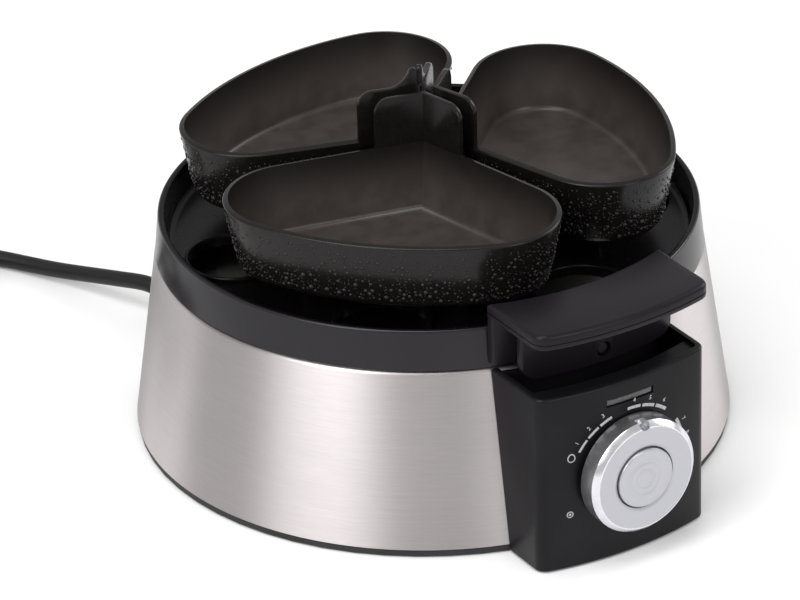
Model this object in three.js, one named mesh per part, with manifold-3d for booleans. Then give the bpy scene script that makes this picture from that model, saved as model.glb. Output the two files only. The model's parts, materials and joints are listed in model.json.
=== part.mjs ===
// An electric egg cooker: a brushed steel body with a control box on its front, a black tray with a
// handle on top of it, and a lift-out poacher of three cups. Millimetres, +Z up. The round body's axis
// is vertical, and the control box faces -Y. The origin is under the middle of the cooker's footprint.
import * as THREE from "three";
import { mergeVertices } from "three/addons/utils/BufferGeometryUtils.js";
import Module from "manifold-3d";

const wasm = await Module();
wasm.setup();

// ---- Clearances -----------------------------------------------------------------------------------
const touching = 0.3; // between pieces that rest on or against each other
const running = 0.4; // between a piece and the hole it moves in
const fitting = 0.5; // round a piece that drops into place

// ---- Driving dimensions ---------------------------------------------------------------------------
// Body
const footHeight = 0.5; // the base plate's height above the table
const footRadius = 9;
const footInset = 19.8; // from the steel's bottom edge to the feet's middles
const footChamfer = [1, 0.6];
const footThickness = 1.8;
const footCount = 4;
const footFirstAngle = 45;
const baseRimHeight = 1.8; // the dark rim that shows under the steel
const baseRimInset = 0.3; // how far that rim stands in from the steel
const basePlateThickness = 2.2;
const baseUpstand = 4.5; // the ring inside the steel that centres it
const baseUpstandWall = 2.2;
const slotCount = 5; // cooling slots in the base plate
const slotLength = 60;
const slotWidth = 3;
const slotSpacing = 12;
const sleeveBottomRadius = 95.5;
const sleeveTaper = 8.2; // how much smaller the steel is at its top
const sleeveHeight = 57.6;
const sleeveWall = 0.8;
const sleeveLip = 3.2; // the steel's rolled-in top edge
const sleeveRoll = 0.5;
// Heater
const deckWall = 2.2;
const deckDepth = 8; // from the steel's top edge down to the deck's floor
const dishRadius = 60;
const dishDepth = 9;
const dishFlange = 8;
const dishWall = 0.9;
const dishBend = 2.5;
const elementRadius = 42;
const elementTubeRadius = 3.2;
const elementGap = 26; // degrees left open between the element's two ends
const elementTailDrop = 9;
const elementSpans = 24; // points along the element's round
const thermostatRadius = 9;
const thermostatHeight = 7;
const thermostatBevel = 0.8;
const thermostatShoulder = 2; // its body is this much slimmer than its face
const bracketWidth = 16;
const bracketThickness = 1.6;
const bracketOverhang = 4; // past the element
const fuseRadius = 2.2;
const fuseLength = 16;
const postRadius = 4.6;
const postInset = 9; // from the steel's inside at the top to the posts' middles
const postFirstAngle = 0;
const screwHeadRadius = 3;
const screwHeadHeight = 1.8;
const screwHeadEdge = 0.6;
const screwPoint = 1;
const screwShankRadius = 1.5;
const screwLength = 12;
const pilotExtra = 3; // a pilot hole is this much deeper than its screw
// Tray
const trayHeight = 13.3; // the band that shows above the steel
const trayInset = 0.3; // how far the band's lower edge stands in from the steel's top edge
const trayDraft = 1.3; // how much smaller the band is at its top
const trayWall = 2.2;
const trayFloorRise = 1.5; // from the band's lower edge up to the floor's underside
const trayFloorThickness = 1.8;
const traySkirtDepth = 4.4; // below the band, inside the steel's lip
const traySkirtWall = 2.2;
const trayRimEdge = 0.7;
const trayFillet = 2;
const trayWallLean = 0.5; // how much thicker the wall is at its foot
const trayBossHalf = 4.5; // the boss inside the band that takes the handle's screw
const trayBossDepth = 8;
const trayBossCap = 3.8; // above the screw
const trayBossSkin = 1.6; // left behind the pilot hole
const eggHoleCount = 6;
const eggHoleRadius = 14;
const eggHoleCircle = 64;
const eggHoleCollar = 1.6;
const eggHoleCollarHeight = 1.8;
const ventRadius = 2;
const ventCircle = 22;
const ventCount = 6;
// Handle
const handleOverhang = 26; // from the steel's top edge to the handle's front edge
const handleHalfWidth = 31.4;
const handleThickness = 5;
const handleRise = 9.2; // the top face above the tray's rim
const handleCorner = 5;
const handleLeg = 2.6; // the upright against the tray's band
const handleApronOffset = 10.5; // from the steel's top edge to the apron's face
const handleApronWall = 2.3;
const handleApronHalfWidth = 27.5;
const handleApronDrop = 17.3; // below the top plate
const handleApronCorner = 5;
const handleSmallCorner = 0.8; // the leg's and the apron's upright edges
const handleLegRise = 2; // the leg ends this far above the apron
const handleScrewDrop = 13.4; // from the top plate's underside to the screw
const handleScrewHeadRadius = 2.3;
const handleScrewSeat = 3.2; // from the apron's face to the screw head's seat
const handleScrewWall = 1.4; // round the screw head
const handleBossSetback = 0.6; // behind the apron's face
const handleScrewBite = 5; // past the tray's wall
// Poacher
const cupAngles = { front: 224.2, right: 344.2, rear: 104.2 };
const cupApex = 2.1; // from the middle to each cup's pointed end
const cupHalfAngle = 58;
const cupReach = 76.8;
const cupOuterArc = 102;
const cupCorner = 23;
const cupHeight = 23;
const cupDraft = 4.6; // how far the walls lean in, rim to floor
const cupWall = 1.8;
const cupFloor = 1.8;
const cupClearance = 10.2; // the cups' undersides above the tray's floor
const cupLegRadius = 3.4;
const cupLegCircle = 52;
const cupLegAngle = 30;
const gripHeight = 16.8; // the upright plates above the cups' rims
const gripLength = { front: 17, right: 17, rear: 20.5 };
const gripCorner = 5;
const hornHeight = 6;
const hornFoot = 7.4; // along the plate, where the horn starts to rise
const hornTip = 1.5;
const hornSlot = 0.8; // from the plate's pointed edge to the horn's upright side
const hubDiscRadius = 9;
const hubDiscThickness = 3;
const hubPostRadius = 5;
const hubBladeReach = 15;
// Control box
const boxDepth = 16; // from the steel's bottom edge to the front face's middle
const boxHalfWidth = 30.7;
const boxBottom = 0.6;
const boxTop = 60.5;
const boxLiner = 1.4; // the box's own wall against the steel, behind its pocket
const boxCorner = 4;
const boxWall = 2;
const pocketFloorHeight = 46;
const pocketLedge = 6; // the hollow strip behind the front face, for the light
const pocketLedgeDepth = 1.2;
const pocketLedgeThickness = 1.4;
const leastCorner = 0.6; // of a corner inside a wall
const windowMargin = 4; // the opening in the steel behind the box is this much smaller all round
// Knob and button
const knobHeight = 30; // the knob's axis above the table
const knobRadius = 18.8;
const knobDepth = 7.6;
const knobStandOff = 0.5;
const knobBevel = 1.4;
const knobRim = 2.2;
const knobNotchWidth = 3.4;
const knobNotchDepth = 2.4;
const knobFace = 2.4;
const knobHubRadius = 6.4;
const knobHollow = 1; // the back of the knob's web lies this far inside
const buttonRadius = 9.8;
const buttonGap = 0.5;
const buttonThickness = 2.6;
const buttonProud = 0.3;
const buttonEdge = 0.5;
const buttonTravel = 1.5;
const buttonStemRadius = 1.2;
const springRadius = 4.4;
const springWire = 0.35;
const springTurns = 2.5;
const shaftRadius = 3;
const shaftBore = 1.7;
// Behind the front face
const lensLength = 16.5;
const lensHeight = 1.9;
const lensRise = 54.3;
const lensRecess = 0.3;
const lensInside = 1; // how far the lens reaches in past the wall
const lightMargin = 1.5; // the light's chamber past the lens at each end
const boardThickness = 1.6;
const boardHalfWidth = 22;
const boardGap = 2; // under the pocket
const boardBottom = 7;
const boardBehind = 16; // from the front face's inside to the board's front
const encoderSize = 13;
const encoderDepth = 6;
const bushingRadius = 3.9;
const switchRadius = 2.2;
const switchHeight = 1;
const ledSize = 2.2;
const buzzerRadius = 5.5;
const buzzerHeight = 5;
const buzzerSide = 14;
const buzzerRise = 2; // above the board's lower edge
const relayWidth = 12;
const relayHeight = 15;
const relayDepth = 9;
const powerBoardLength = 46;
const powerBoardWidth = 30;
const powerBoardRise = 8;
const powerBoardStart = 27; // from the cooker's axis back to the board's near edge
const boardLegSize = 4;
const boardLegInset = 1.7; // from the board's ends
const boardLegOverlap = 0.5;
const boardMargin = 2; // from the board's edge to what stands on it
const terminalLength = 24;
const terminalWidth = 9;
const terminalHeight = 9;
const capacitorRadius = 5;
const capacitorHeight = 12;
// Mains cord
const cordRadius = 2.7;
const cordExitAngle = 111.5;
const cordExitHeight = 9.5;
const reliefLength = 20;
const reliefRootRadius = 5.2;
const reliefTipRadius = 3.6;
const reliefFlangeRadius = 7.2;
const reliefInside = 5;
const reliefRibs = 4;
const reliefRibDepth = 0.7;
const reliefRibStart = 0.15; // shares of a rib's pitch
const reliefRibEnd = 0.7;
const reliefTipEdge = 0.4;
const cordStraight = 4; // the cord leaves the relief straight for this far
const cordLift = 0.25; // above the table
const clampWidth = 20;
const clampDepth = 8;
const clampHeight = 16;
const clampBack = 1.5; // from the base plate's ring
const coilFromExit = [-73.92, 70.17]; // its middle, from where the cord leaves the relief
const coilMeanRadius = 30;
const coilLift = 1; // the coil lies on its tie
const coilEntryAngle = 33;
const coilSegments = 36;
// The cord's middle line between the strain relief and the coil, from where it leaves the relief.
const cordOnTheWay = [
  [-5.52, 13.17, 8.1],
  [-8.92, 21.67, 6.6],
  [-12.42, 30.17, 5.1],
  [-16.42, 39.17, 3.8],
  [-21.42, 49.17, 3.1],
  [-27.42, 59.17, 2.95],
  [-33.92, 68.17, 2.95],
  [-38.42, 74.67, 3],
];
const tieThickness = 0.6;
const tieWidth = 7;
const tieAngle = 300;
const tieSlack = 0.4;
const plugLength = 36;
const plugWidth = 34;
const plugThickness = 13.6;
const plugNeckLength = 12;
const plugNeckHalf = 5;
const plugLift = 0.1;
const plugFromCoil = 30; // from the coil's middle line to the plug
const tailShares = [[0, 0], [0.25, 0.16], [0.5, 0.5], [0.75, 0.84], [1, 1]]; // along it, and down
const pinRadius = 2;
const pinLength = 19;
const pinSpacing = 18.6;
// Facets round a full circle
const steps = { large: 60, middle: 32, hole: 18, small: 16, fine: 10, cord: 8 };
const beyond = 1; // how far a cutting tool runs past what it cuts

// ---- Places worked out from those sizes -----------------------------------------------------------
const degrees = Math.PI / 180;
const sleeveTopRadius = sleeveBottomRadius - sleeveTaper;
const sleeveBottom = footHeight + baseRimHeight + touching;
const sleeveTop = sleeveBottom + sleeveHeight;
const sleeveSlope = (sleeveTopRadius - sleeveBottomRadius) / sleeveHeight;
const sleeveRadius = (z) => sleeveBottomRadius + (z - sleeveBottom) * sleeveSlope;
const sleeveInside = (z) => sleeveRadius(z) - sleeveWall - touching;
const baseRimRadius = sleeveBottomRadius - baseRimInset;
const basePlateTop = footHeight + basePlateThickness;
const lipUnderside = sleeveTop - sleeveWall;
const deckTop = lipUnderside - touching;
const deckFloorTop = sleeveTop - deckDepth;
const deckFloorBottom = deckFloorTop - deckWall;
const deckOuter = sleeveInside(deckTop);
const dishFlangeBottom = deckFloorTop + touching;
const dishBottom = dishFlangeBottom + dishWall - dishDepth;
const elementHeight = dishBottom - 2 * touching - elementTubeRadius;
const bracketTop = elementHeight - elementTubeRadius - touching;
const postCircle = sleeveInside(sleeveTop) - postInset;
const bandBottom = sleeveTop + touching;
const bandTop = bandBottom + trayHeight;
const bandBottomRadius = sleeveTopRadius - trayInset;
const bandTopRadius = bandBottomRadius - trayDraft;
const bandRadius = (z) => bandBottomRadius - (trayDraft * (z - bandBottom)) / trayHeight;
const trayFloorBottom = bandBottom + trayFloorRise;
const trayFloorTop = trayFloorBottom + trayFloorThickness;
const skirtRadius = sleeveTopRadius - sleeveLip - fitting;
const handleReach = sleeveTopRadius + handleOverhang;
const handleApronReach = sleeveTopRadius + handleApronOffset;
const handleTop = bandTop + handleRise;
const handleBottom = handleTop - handleThickness;
const handleScrewHeight = handleBottom - handleScrewDrop;
const cupBottom = trayFloorTop + cupClearance;
const cupTop = cupBottom + cupHeight;
const gripTop = cupTop + gripHeight;
const boxReach = sleeveBottomRadius + boxDepth;
const boxBack = sleeveTopRadius - 26; // where the box's plan ends, inside the body that is cut from it
const boxInsideFront = boxReach - boxWall;
const pocketFloorTop = pocketFloorHeight + boxWall;
const knobBack = boxReach + knobStandOff;
const knobFront = knobBack + knobDepth;
const buttonFront = knobFront + buttonProud;
const buttonBack = buttonFront - buttonThickness;
const wellFloor = knobBack + knobFace;
const boardFront = boxInsideFront - boardBehind;
const boardBack = boardFront - boardThickness;
const encoderFront = boardFront + touching + encoderDepth;
const coilRadii = [coilMeanRadius - cordRadius, coilMeanRadius + cordRadius];
const coilInner = coilRadii[0] - cordRadius - touching;
const coilOuter = coilRadii[1] + cordRadius + touching;
const coilHeight = 4 * cordRadius + touching;
// The origin lies under the middle of the cooker, from the button's face to the steel's far side.
const axisShift = (buttonFront - sleeveBottomRadius) / 2;

// ---- Materials ------------------------------------------------------------------------------------
const finish = (color, roughness, metalness = 0) =>
  new THREE.MeshStandardMaterial({ color, roughness, metalness });
const materials = {
  steel: finish(0xd8d4d2, 0.32, 1),
  blackPlastic: finish(0x26242a, 0.42),
  glossBlack: finish(0x141214, 0.15),
  cupBlack: finish(0x1b1718, 0.25),
  darkPlastic: finish(0x2f2f33, 0.55),
  silver: finish(0xd9dade, 0.28, 0.8),
  chrome: finish(0xe6e7ea, 0.08, 1),
  rubber: finish(0x1c1c1c, 0.85),
  dish: finish(0xc8c6c2, 0.35, 1),
  ceramicWhite: finish(0xe8e4da, 0.7),
  board: finish(0x1f5a36, 0.5),
  lens: finish(0x6b6264, 0.2),
  brass: finish(0xb99b56, 0.3, 1),
  zinc: finish(0xb4b7ba, 0.4, 1),
};

// ---- Solids ---------------------------------------------------------------------------------------
// A closed geometry as a solid that can be joined and cut.
function solid(geometry) {
  const bare = geometry.clone();
  bare.deleteAttribute("normal");
  bare.deleteAttribute("uv");
  const merged = mergeVertices(bare, 1e-4);
  const index = merged.index.array;
  const kept = [];
  for (let i = 0; i < index.length; i += 3) {
    const [a, b, c] = [index[i], index[i + 1], index[i + 2]];
    if (a !== b && b !== c && c !== a) kept.push(a, b, c);
  }
  const vertProperties = merged.attributes.position.array;
  return new wasm.Manifold(new wasm.Mesh({ numProp: 3, vertProperties, triVerts: new Uint32Array(kept) }));
}

function geometryOf(shape) {
  const mesh = shape.getMesh();
  const geometry = new THREE.BufferGeometry();
  geometry.setAttribute("position", new THREE.BufferAttribute(mesh.vertProperties, 3));
  geometry.setIndex(new THREE.BufferAttribute(mesh.triVerts, 1));
  geometry.computeVertexNormals();
  return geometry;
}

// A profile of [radius, height] points turned about the Z axis.
function turned(profile, around = steps.large) {
  const points = profile.map(([radius, height]) => new THREE.Vector2(radius, height));
  return new THREE.LatheGeometry(points, around).rotateX(Math.PI / 2);
}

// The same for a ring whose profile closes on itself.
const turnedRing = (profile, around) => turned([...profile, profile[0]], around);

function upright(radius, bottom, top, around = steps.small) {
  const height = top - bottom;
  return new THREE.CylinderGeometry(radius, radius, height, around)
    .rotateX(Math.PI / 2)
    .translate(0, 0, bottom + height / 2);
}

function block(x0, x1, y0, y1, z0, z1) {
  return new THREE.BoxGeometry(x1 - x0, y1 - y0, z1 - z0)
    .translate((x0 + x1) / 2, (y0 + y1) / 2, (z0 + z1) / 2);
}

function extruded(outline, bottom, top) {
  const options = { depth: top - bottom, bevelEnabled: false };
  return new THREE.ExtrudeGeometry(new THREE.Shape(outline), options).translate(0, 0, bottom);
}

// Points along an arc, from one angle to another in radians, both ends included.
function arc(x, y, radius, from, to, count) {
  return Array.from({ length: count + 1 }, (_, i) => {
    const angle = from + ((to - from) * i) / count;
    return new THREE.Vector2(x + radius * Math.cos(angle), y + radius * Math.sin(angle));
  });
}

const point = (x, y) => new THREE.Vector2(x, y);

// Turns a geometry made along +Z so that its axis points to -Y, out of the control box's front.
const facingFront = (geometry, height = knobHeight) =>
  geometry.rotateX(Math.PI / 2).translate(0, 0, height);

// The points of a polar place, degrees from +X.
const polar = (radius, angle) => [
  radius * Math.cos(angle * degrees),
  radius * Math.sin(angle * degrees),
];

// A bar of round section along a curve, closed at both ends.
function tube(curve, radius, along, around = steps.cord) {
  const section = new THREE.Shape(arc(0, 0, radius, 0, 2 * Math.PI, around).slice(1));
  return new THREE.ExtrudeGeometry(section, { steps: along, bevelEnabled: false, extrudePath: curve });
}

const cooker = new THREE.Group();
cooker.position.y = axisShift;
const groups = {};
for (const name of ["base", "tray", "poacher", "knob", "cord"]) {
  groups[name] = new THREE.Group();
  cooker.add(groups[name]);
}

function piece(group, name, shape, material) {
  const geometry = shape.isBufferGeometry ? shape : geometryOf(shape);
  const mesh = new THREE.Mesh(geometry, material);
  mesh.name = name;
  groups[group].add(mesh);
}

const footAngles = Array.from({ length: footCount }, (_, i) => footFirstAngle + (i * 360) / footCount);
const postAngles = Array.from({ length: footCount }, (_, i) => postFirstAngle + (i * 360) / footCount);
const footCircle = sleeveBottomRadius - footInset;

// ---- Base -----------------------------------------------------------------------------------------
// The control box's plan, pulled in by inset: straight sides and a front that follows the body's round.
function boxPlan(inset, back, reach = boxReach - inset, halfWidth = boxHalfWidth - inset) {
  const corner = Math.max(boxCorner - inset, leastCorner);
  const across = halfWidth - corner;
  const along = Math.sqrt((reach - corner) ** 2 - across ** 2);
  const lean = Math.atan2(across, along);
  const [left, right] = [1.5 * Math.PI - lean, 1.5 * Math.PI + lean];
  return [
    point(-halfWidth, -back),
    ...arc(-across, -along, corner, Math.PI, left, 4),
    ...arc(0, 0, reach, left, right, 10).slice(1, -1),
    ...arc(across, -along, corner, right, 2 * Math.PI, 4),
    point(halfWidth, -back),
  ];
}

function makeBasePlate() {
  const upstandTop = basePlateTop + baseUpstand;
  const upstandRadius = sleeveInside(upstandTop);
  let plate = solid(turned([
    [0, footHeight],
    [baseRimRadius, footHeight],
    [baseRimRadius, footHeight + baseRimHeight],
    [upstandRadius, footHeight + baseRimHeight],
    [upstandRadius, upstandTop],
    [upstandRadius - baseUpstandWall, upstandTop],
    [upstandRadius - baseUpstandWall, basePlateTop],
    [0, basePlateTop],
  ]));
  const recessTop = footThickness + touching;
  for (const angle of footAngles) {
    const [x, y] = polar(footCircle, angle);
    plate = plate.subtract(solid(upright(footRadius + touching, 0, recessTop).translate(x, y, 0)));
  }
  for (const angle of postAngles) {
    const [x, y] = polar(postCircle, angle);
    const hole = upright(screwShankRadius + touching, 0, upstandTop).translate(x, y, 0);
    const head = upright(screwHeadRadius + touching, 0, footHeight + screwHeadHeight).translate(x, y, 0);
    plate = plate.subtract(solid(hole)).subtract(solid(head));
  }
  // Cooling slots under the heater.
  for (let i = 0; i < slotCount; i += 1) {
    const x = (i - (slotCount - 1) / 2) * slotSpacing;
    const slot = block(
      x - slotWidth / 2, x + slotWidth / 2, -slotLength / 2, slotLength / 2,
      0, basePlateTop + beyond,
    );
    plate = plate.subtract(solid(slot));
  }
  // The ring is open behind the control box, where the wires pass.
  const passage = boxHalfWidth - windowMargin;
  const ringInner = upstandRadius - baseUpstandWall;
  const ringEdge = Math.sqrt(ringInner ** 2 - passage ** 2) - beyond;
  const opening = block(
    -passage, passage, -baseRimRadius, -ringEdge,
    basePlateTop, upstandTop + beyond,
  );
  // The strain relief passes through the ring at the back.
  const relief = upright(reliefFlangeRadius + fitting, ringInner - 2 * beyond, upstandRadius + beyond);
  relief.rotateY(Math.PI / 2).rotateZ(cordExitAngle * degrees).translate(0, 0, cordExitHeight);
  plate = plate.subtract(solid(opening)).subtract(solid(relief));
  piece("base", "base_plate", plate, materials.darkPlastic);
}

function makeFeet() {
  footAngles.forEach((angle, i) => {
    const [x, y] = polar(footCircle, angle);
    const foot = turned([
      [0, 0],
      [footRadius - footChamfer[0], 0],
      [footRadius, footChamfer[1]],
      [footRadius, footThickness],
      [0, footThickness],
    ], steps.small);
    piece("base", `foot_${i + 1}`, foot.translate(x, y, 0), materials.rubber);
  });
}

// A countersunk screw along +Z, head at the bottom.
function screw(length = screwLength, headRadius = screwHeadRadius) {
  return turned([
    [0, 0],
    [headRadius - screwHeadEdge, 0],
    [headRadius, screwHeadEdge],
    [headRadius, screwHeadHeight / 2],
    [screwShankRadius, screwHeadHeight],
    [screwShankRadius, length],
    [0, length + screwPoint],
  ], steps.fine);
}

// The base screws' heads lie inside the plate and their shanks in the deck's posts.
function makeBaseScrews() {
  postAngles.forEach((angle, i) => {
    const [x, y] = polar(postCircle, angle);
    piece("base", `base_screw_${i + 1}`, screw().translate(x, y, footHeight), materials.zinc);
  });
}

function makeSleeve() {
  const lipInner = sleeveTopRadius - sleeveLip;
  let sleeve = solid(turnedRing([
    [sleeveBottomRadius - sleeveWall, sleeveBottom],
    [sleeveBottomRadius, sleeveBottom],
    [sleeveRadius(sleeveTop - sleeveRoll), sleeveTop - sleeveRoll],
    [sleeveTopRadius - sleeveRoll, sleeveTop],
    [lipInner, sleeveTop],
    [lipInner, lipUnderside],
    [sleeveRadius(lipUnderside) - sleeveWall, lipUnderside],
  ]));
  const halfWidth = boxHalfWidth - windowMargin;
  const window = block(
    -halfWidth, halfWidth, -sleeveBottomRadius - beyond, -boxBack,
    sleeveBottom + windowMargin, pocketFloorHeight - windowMargin,
  );
  const grommet = upright(reliefRootRadius + touching, 0, 2 * sleeveBottomRadius);
  grommet.rotateY(Math.PI / 2).rotateZ(cordExitAngle * degrees).translate(0, 0, cordExitHeight);
  sleeve = sleeve.subtract(solid(window)).subtract(solid(grommet));
  piece("base", "steel_sleeve", sleeve, materials.steel);
}

// A moulded deck hangs under the steel's lip on four posts and carries the water dish.
function makeDeck() {
  let deck = solid(turnedRing([
    [dishRadius + fitting, deckFloorBottom],
    [sleeveInside(deckFloorBottom) - fitting, deckFloorBottom],
    [sleeveInside(deckFloorTop) - fitting, deckFloorTop],
    [deckOuter, deckTop],
    [skirtRadius + fitting, deckTop],
    [skirtRadius + fitting, deckFloorTop],
    [dishRadius + fitting, deckFloorTop],
  ]));
  for (const angle of postAngles) {
    const [x, y] = polar(postCircle, angle);
    const post = upright(postRadius, basePlateTop + touching, deckFloorTop - deckWall / 2);
    const pilot = upright(screwShankRadius + touching, 0, footHeight + screwLength + pilotExtra);
    deck = deck.add(solid(post.translate(x, y, 0))).subtract(solid(pilot.translate(x, y, 0)));
  }
  piece("base", "upper_deck", deck, materials.darkPlastic);
}

function makeHeater() {
  const flangeTop = dishFlangeBottom + dishWall;
  const dish = turned([
    [0, dishBottom],
    [dishRadius - dishBend, dishBottom],
    [dishRadius, dishBottom + dishBend],
    [dishRadius, dishFlangeBottom],
    [dishRadius + dishFlange, dishFlangeBottom],
    [dishRadius + dishFlange, flangeTop],
    [dishRadius - dishWall, flangeTop],
    [dishRadius - dishWall, dishBottom + dishBend],
    [dishRadius - dishBend, dishBottom + dishWall],
    [0, dishBottom + dishWall],
  ]);
  piece("base", "water_dish", dish, materials.dish);

  // The sheathed element runs round under the dish, and its two ends turn down.
  const first = 270 + elementGap / 2;
  const sweep = 360 - elementGap;
  const ring = [];
  for (let i = 0; i <= elementSpans; i += 1) {
    const [x, y] = polar(elementRadius, first + (sweep * i) / elementSpans);
    ring.push(new THREE.Vector3(x, y, elementHeight));
  }
  const drop = (at, lower) => new THREE.Vector3(at.x, at.y - lower / 2, at.z - lower);
  const route = new THREE.CatmullRomCurve3([
    drop(ring[0], elementTailDrop), drop(ring[0], elementTailDrop / 3),
    ...ring.slice(1, -1),
    drop(ring[elementSpans], elementTailDrop / 3), drop(ring[elementSpans], elementTailDrop),
  ]);
  const element = tube(route, elementTubeRadius, 2 * elementSpans);
  piece("base", "heating_element", element, materials.zinc);

  // A bar under the element clamps it and carries the thermostat and the thermal fuse.
  const barHalf = elementRadius + elementTubeRadius + bracketOverhang;
  const thermostatTop = dishBottom - touching;
  const seat = thermostatTop - thermostatHeight;
  const barBottom = bracketTop - bracketThickness;
  const bodyRadius = thermostatRadius - thermostatShoulder;
  const bar = solid(block(-barHalf, barHalf, -bracketWidth / 2, bracketWidth / 2, barBottom, bracketTop));
  const through = upright(bodyRadius + touching, barBottom - beyond, bracketTop + beyond);
  piece("base", "element_bracket", bar.subtract(solid(through)), materials.zinc);

  const thermostat = turned([
    [0, seat - thermostatHeight],
    [bodyRadius, seat - thermostatHeight],
    [bodyRadius, bracketTop + touching],
    [thermostatRadius, bracketTop + touching],
    [thermostatRadius, thermostatTop - thermostatBevel],
    [thermostatRadius - thermostatBevel, thermostatTop],
    [0, thermostatTop],
  ], steps.middle);
  piece("base", "thermostat", thermostat, materials.ceramicWhite);

  const fuse = upright(fuseRadius, -fuseLength / 2, fuseLength / 2, steps.fine).rotateX(Math.PI / 2);
  fuse.translate(elementRadius / 2, 0, barBottom - touching - fuseRadius);
  piece("base", "thermal_fuse", fuse, materials.ceramicWhite);
}

// ---- Control box ----------------------------------------------------------------------------------
function makeControlBox() {
  const rimTop = footHeight + baseRimHeight + touching;
  const footprint = Math.max(baseRimRadius, sleeveBottomRadius);
  const ledgeTop = boxTop - pocketLedgeDepth;
  const cavity = extruded(boxPlan(boxWall, boxBack), boxBottom + boxWall, pocketFloorHeight);
  const pocketReach = boxReach - boxWall - pocketLedge;
  const pocket = extruded(boxPlan(boxWall, boxBack, pocketReach), pocketFloorTop, boxTop + beyond);
  const shallow = extruded(boxPlan(boxWall, boxBack), ledgeTop, boxTop + beyond);
  const lightHalf = lensLength / 2 + lightMargin;
  const lightTop = ledgeTop - pocketLedgeThickness;
  const light = solid(extruded(boxPlan(boxWall, boxBack), pocketFloorHeight - beyond, lightTop))
    .intersect(solid(block(-lightHalf, lightHalf, -boxReach, -pocketReach - boxWall, 0, boxTop)));
  const body = turned([
    [0, -beyond],
    [footprint + touching, -beyond],
    [footprint + touching, rimTop],
    [sleeveRadius(rimTop) + touching, rimTop],
    [sleeveRadius(boxTop + beyond) + touching, boxTop + beyond],
    [0, boxTop + beyond],
  ]);
  const shaftHole = upright(bushingRadius + touching, boxInsideFront - beyond, boxReach + beyond);
  const slot = block(
    -lensLength / 2 - touching, lensLength / 2 + touching, -boxReach - beyond, -boxInsideFront + beyond,
    lensRise - lensHeight / 2 - touching, lensRise + lensHeight / 2 + touching,
  );
  // The pocket has a wall of its own against the steel.
  const linerBottom = pocketFloorTop - boxWall / 2;
  const linerGap = touching + boxLiner;
  const liner = solid(turned([
    [0, linerBottom],
    [sleeveRadius(linerBottom) + linerGap, linerBottom],
    [sleeveRadius(ledgeTop) + linerGap, ledgeTop],
    [0, ledgeTop],
  ])).intersect(solid(extruded(boxPlan(boxWall / 2, boxBack), linerBottom, boxTop)));
  const shell = solid(extruded(boxPlan(0, boxBack), boxBottom, boxTop))
    .subtract(solid(cavity))
    .subtract(solid(pocket))
    .subtract(solid(shallow))
    .subtract(light)
    .add(liner)
    .subtract(solid(body))
    .subtract(solid(facingFront(shaftHole)))
    .subtract(solid(slot));
  piece("base", "control_box", shell, materials.blackPlastic);

  const lensBack = boxInsideFront - lensInside;
  const lensFront = upright(boxReach - lensRecess, 0, boxTop, 2 * steps.large);
  const lens = solid(block(
    -lensLength / 2, lensLength / 2, -boxReach, -lensBack,
    lensRise - lensHeight / 2, lensRise + lensHeight / 2,
  )).intersect(solid(lensFront));
  piece("base", "indicator_lens", lens, materials.lens);
  const led = block(
    -ledSize / 2, ledSize / 2, -lensBack + touching, -lensBack + touching + ledSize,
    lensRise - lensHeight / 2, lensRise - lensHeight / 2 + ledSize,
  );
  piece("base", "indicator_led", led, materials.ceramicWhite);
}

function makeControls() {
  const boardTop = pocketFloorHeight - boardGap;
  const board = block(-boardHalfWidth, boardHalfWidth, -boardFront, -boardBack, boardBottom, boardTop);
  piece("base", "control_board", board, materials.board);

  const half = encoderSize / 2;
  const shaftHole = shaftRadius + running;
  const [low, high] = [knobHeight - half, knobHeight + half];
  const bushing = upright(bushingRadius, encoderFront - beyond, boxInsideFront + beyond);
  const encoder = solid(block(-half, half, -encoderFront, -boardFront - touching, low, high))
    .add(solid(facingFront(bushing)))
    .subtract(solid(facingFront(upright(shaftHole, boardFront - beyond, boxReach + beyond))));
  piece("base", "rotary_encoder", encoder, materials.zinc);

  const start = upright(switchRadius, boardFront + touching, boardFront + touching + switchHeight);
  piece("base", "start_switch", facingFront(start), materials.ceramicWhite);

  const buzzer = upright(buzzerRadius, boardFront + touching, boardFront + touching + buzzerHeight);
  facingFront(buzzer, boardBottom + buzzerRadius + buzzerRise).translate(buzzerSide, 0, 0);
  piece("base", "buzzer", buzzer, materials.glossBlack);

  const relayY = -boardBack + touching;
  const relayBottom = knobHeight - relayHeight / 2;
  const relay = block(
    -relayWidth / 2, relayWidth / 2, relayY, relayY + relayDepth,
    relayBottom, relayBottom + relayHeight,
  );
  piece("base", "relay", relay, materials.glossBlack);
}

// The mains end of the wiring, on the base plate behind the heater's middle.
function makePowerBoard() {
  const bottom = basePlateTop + powerBoardRise;
  const top = bottom + boardThickness;
  const seat = top + touching;
  const near = powerBoardStart;
  const far = near + powerBoardWidth;
  const halfLength = powerBoardLength / 2;
  let board = solid(block(-halfLength, halfLength, near, far, bottom, top));
  for (const x of [-halfLength + boardLegInset, halfLength - boardLegInset - boardLegSize]) {
    const leg = block(
      x, x + boardLegSize, near + boardLegSize, near + 2 * boardLegSize,
      basePlateTop + touching, bottom + boardLegOverlap,
    );
    board = board.add(solid(leg));
  }
  piece("base", "power_board", board, materials.board);
  const terminalFar = far - boardMargin;
  const terminals = block(
    -terminalLength / 2, terminalLength / 2, terminalFar - terminalWidth, terminalFar,
    seat, seat + terminalHeight,
  );
  piece("base", "terminal_block", terminals, materials.ceramicWhite);
  const capacitor = upright(capacitorRadius, seat, seat + capacitorHeight);
  capacitor.translate(-terminalLength / 2 + capacitorRadius, near + capacitorRadius + boardMargin, 0);
  piece("base", "capacitor", capacitor, materials.glossBlack);
}

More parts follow.
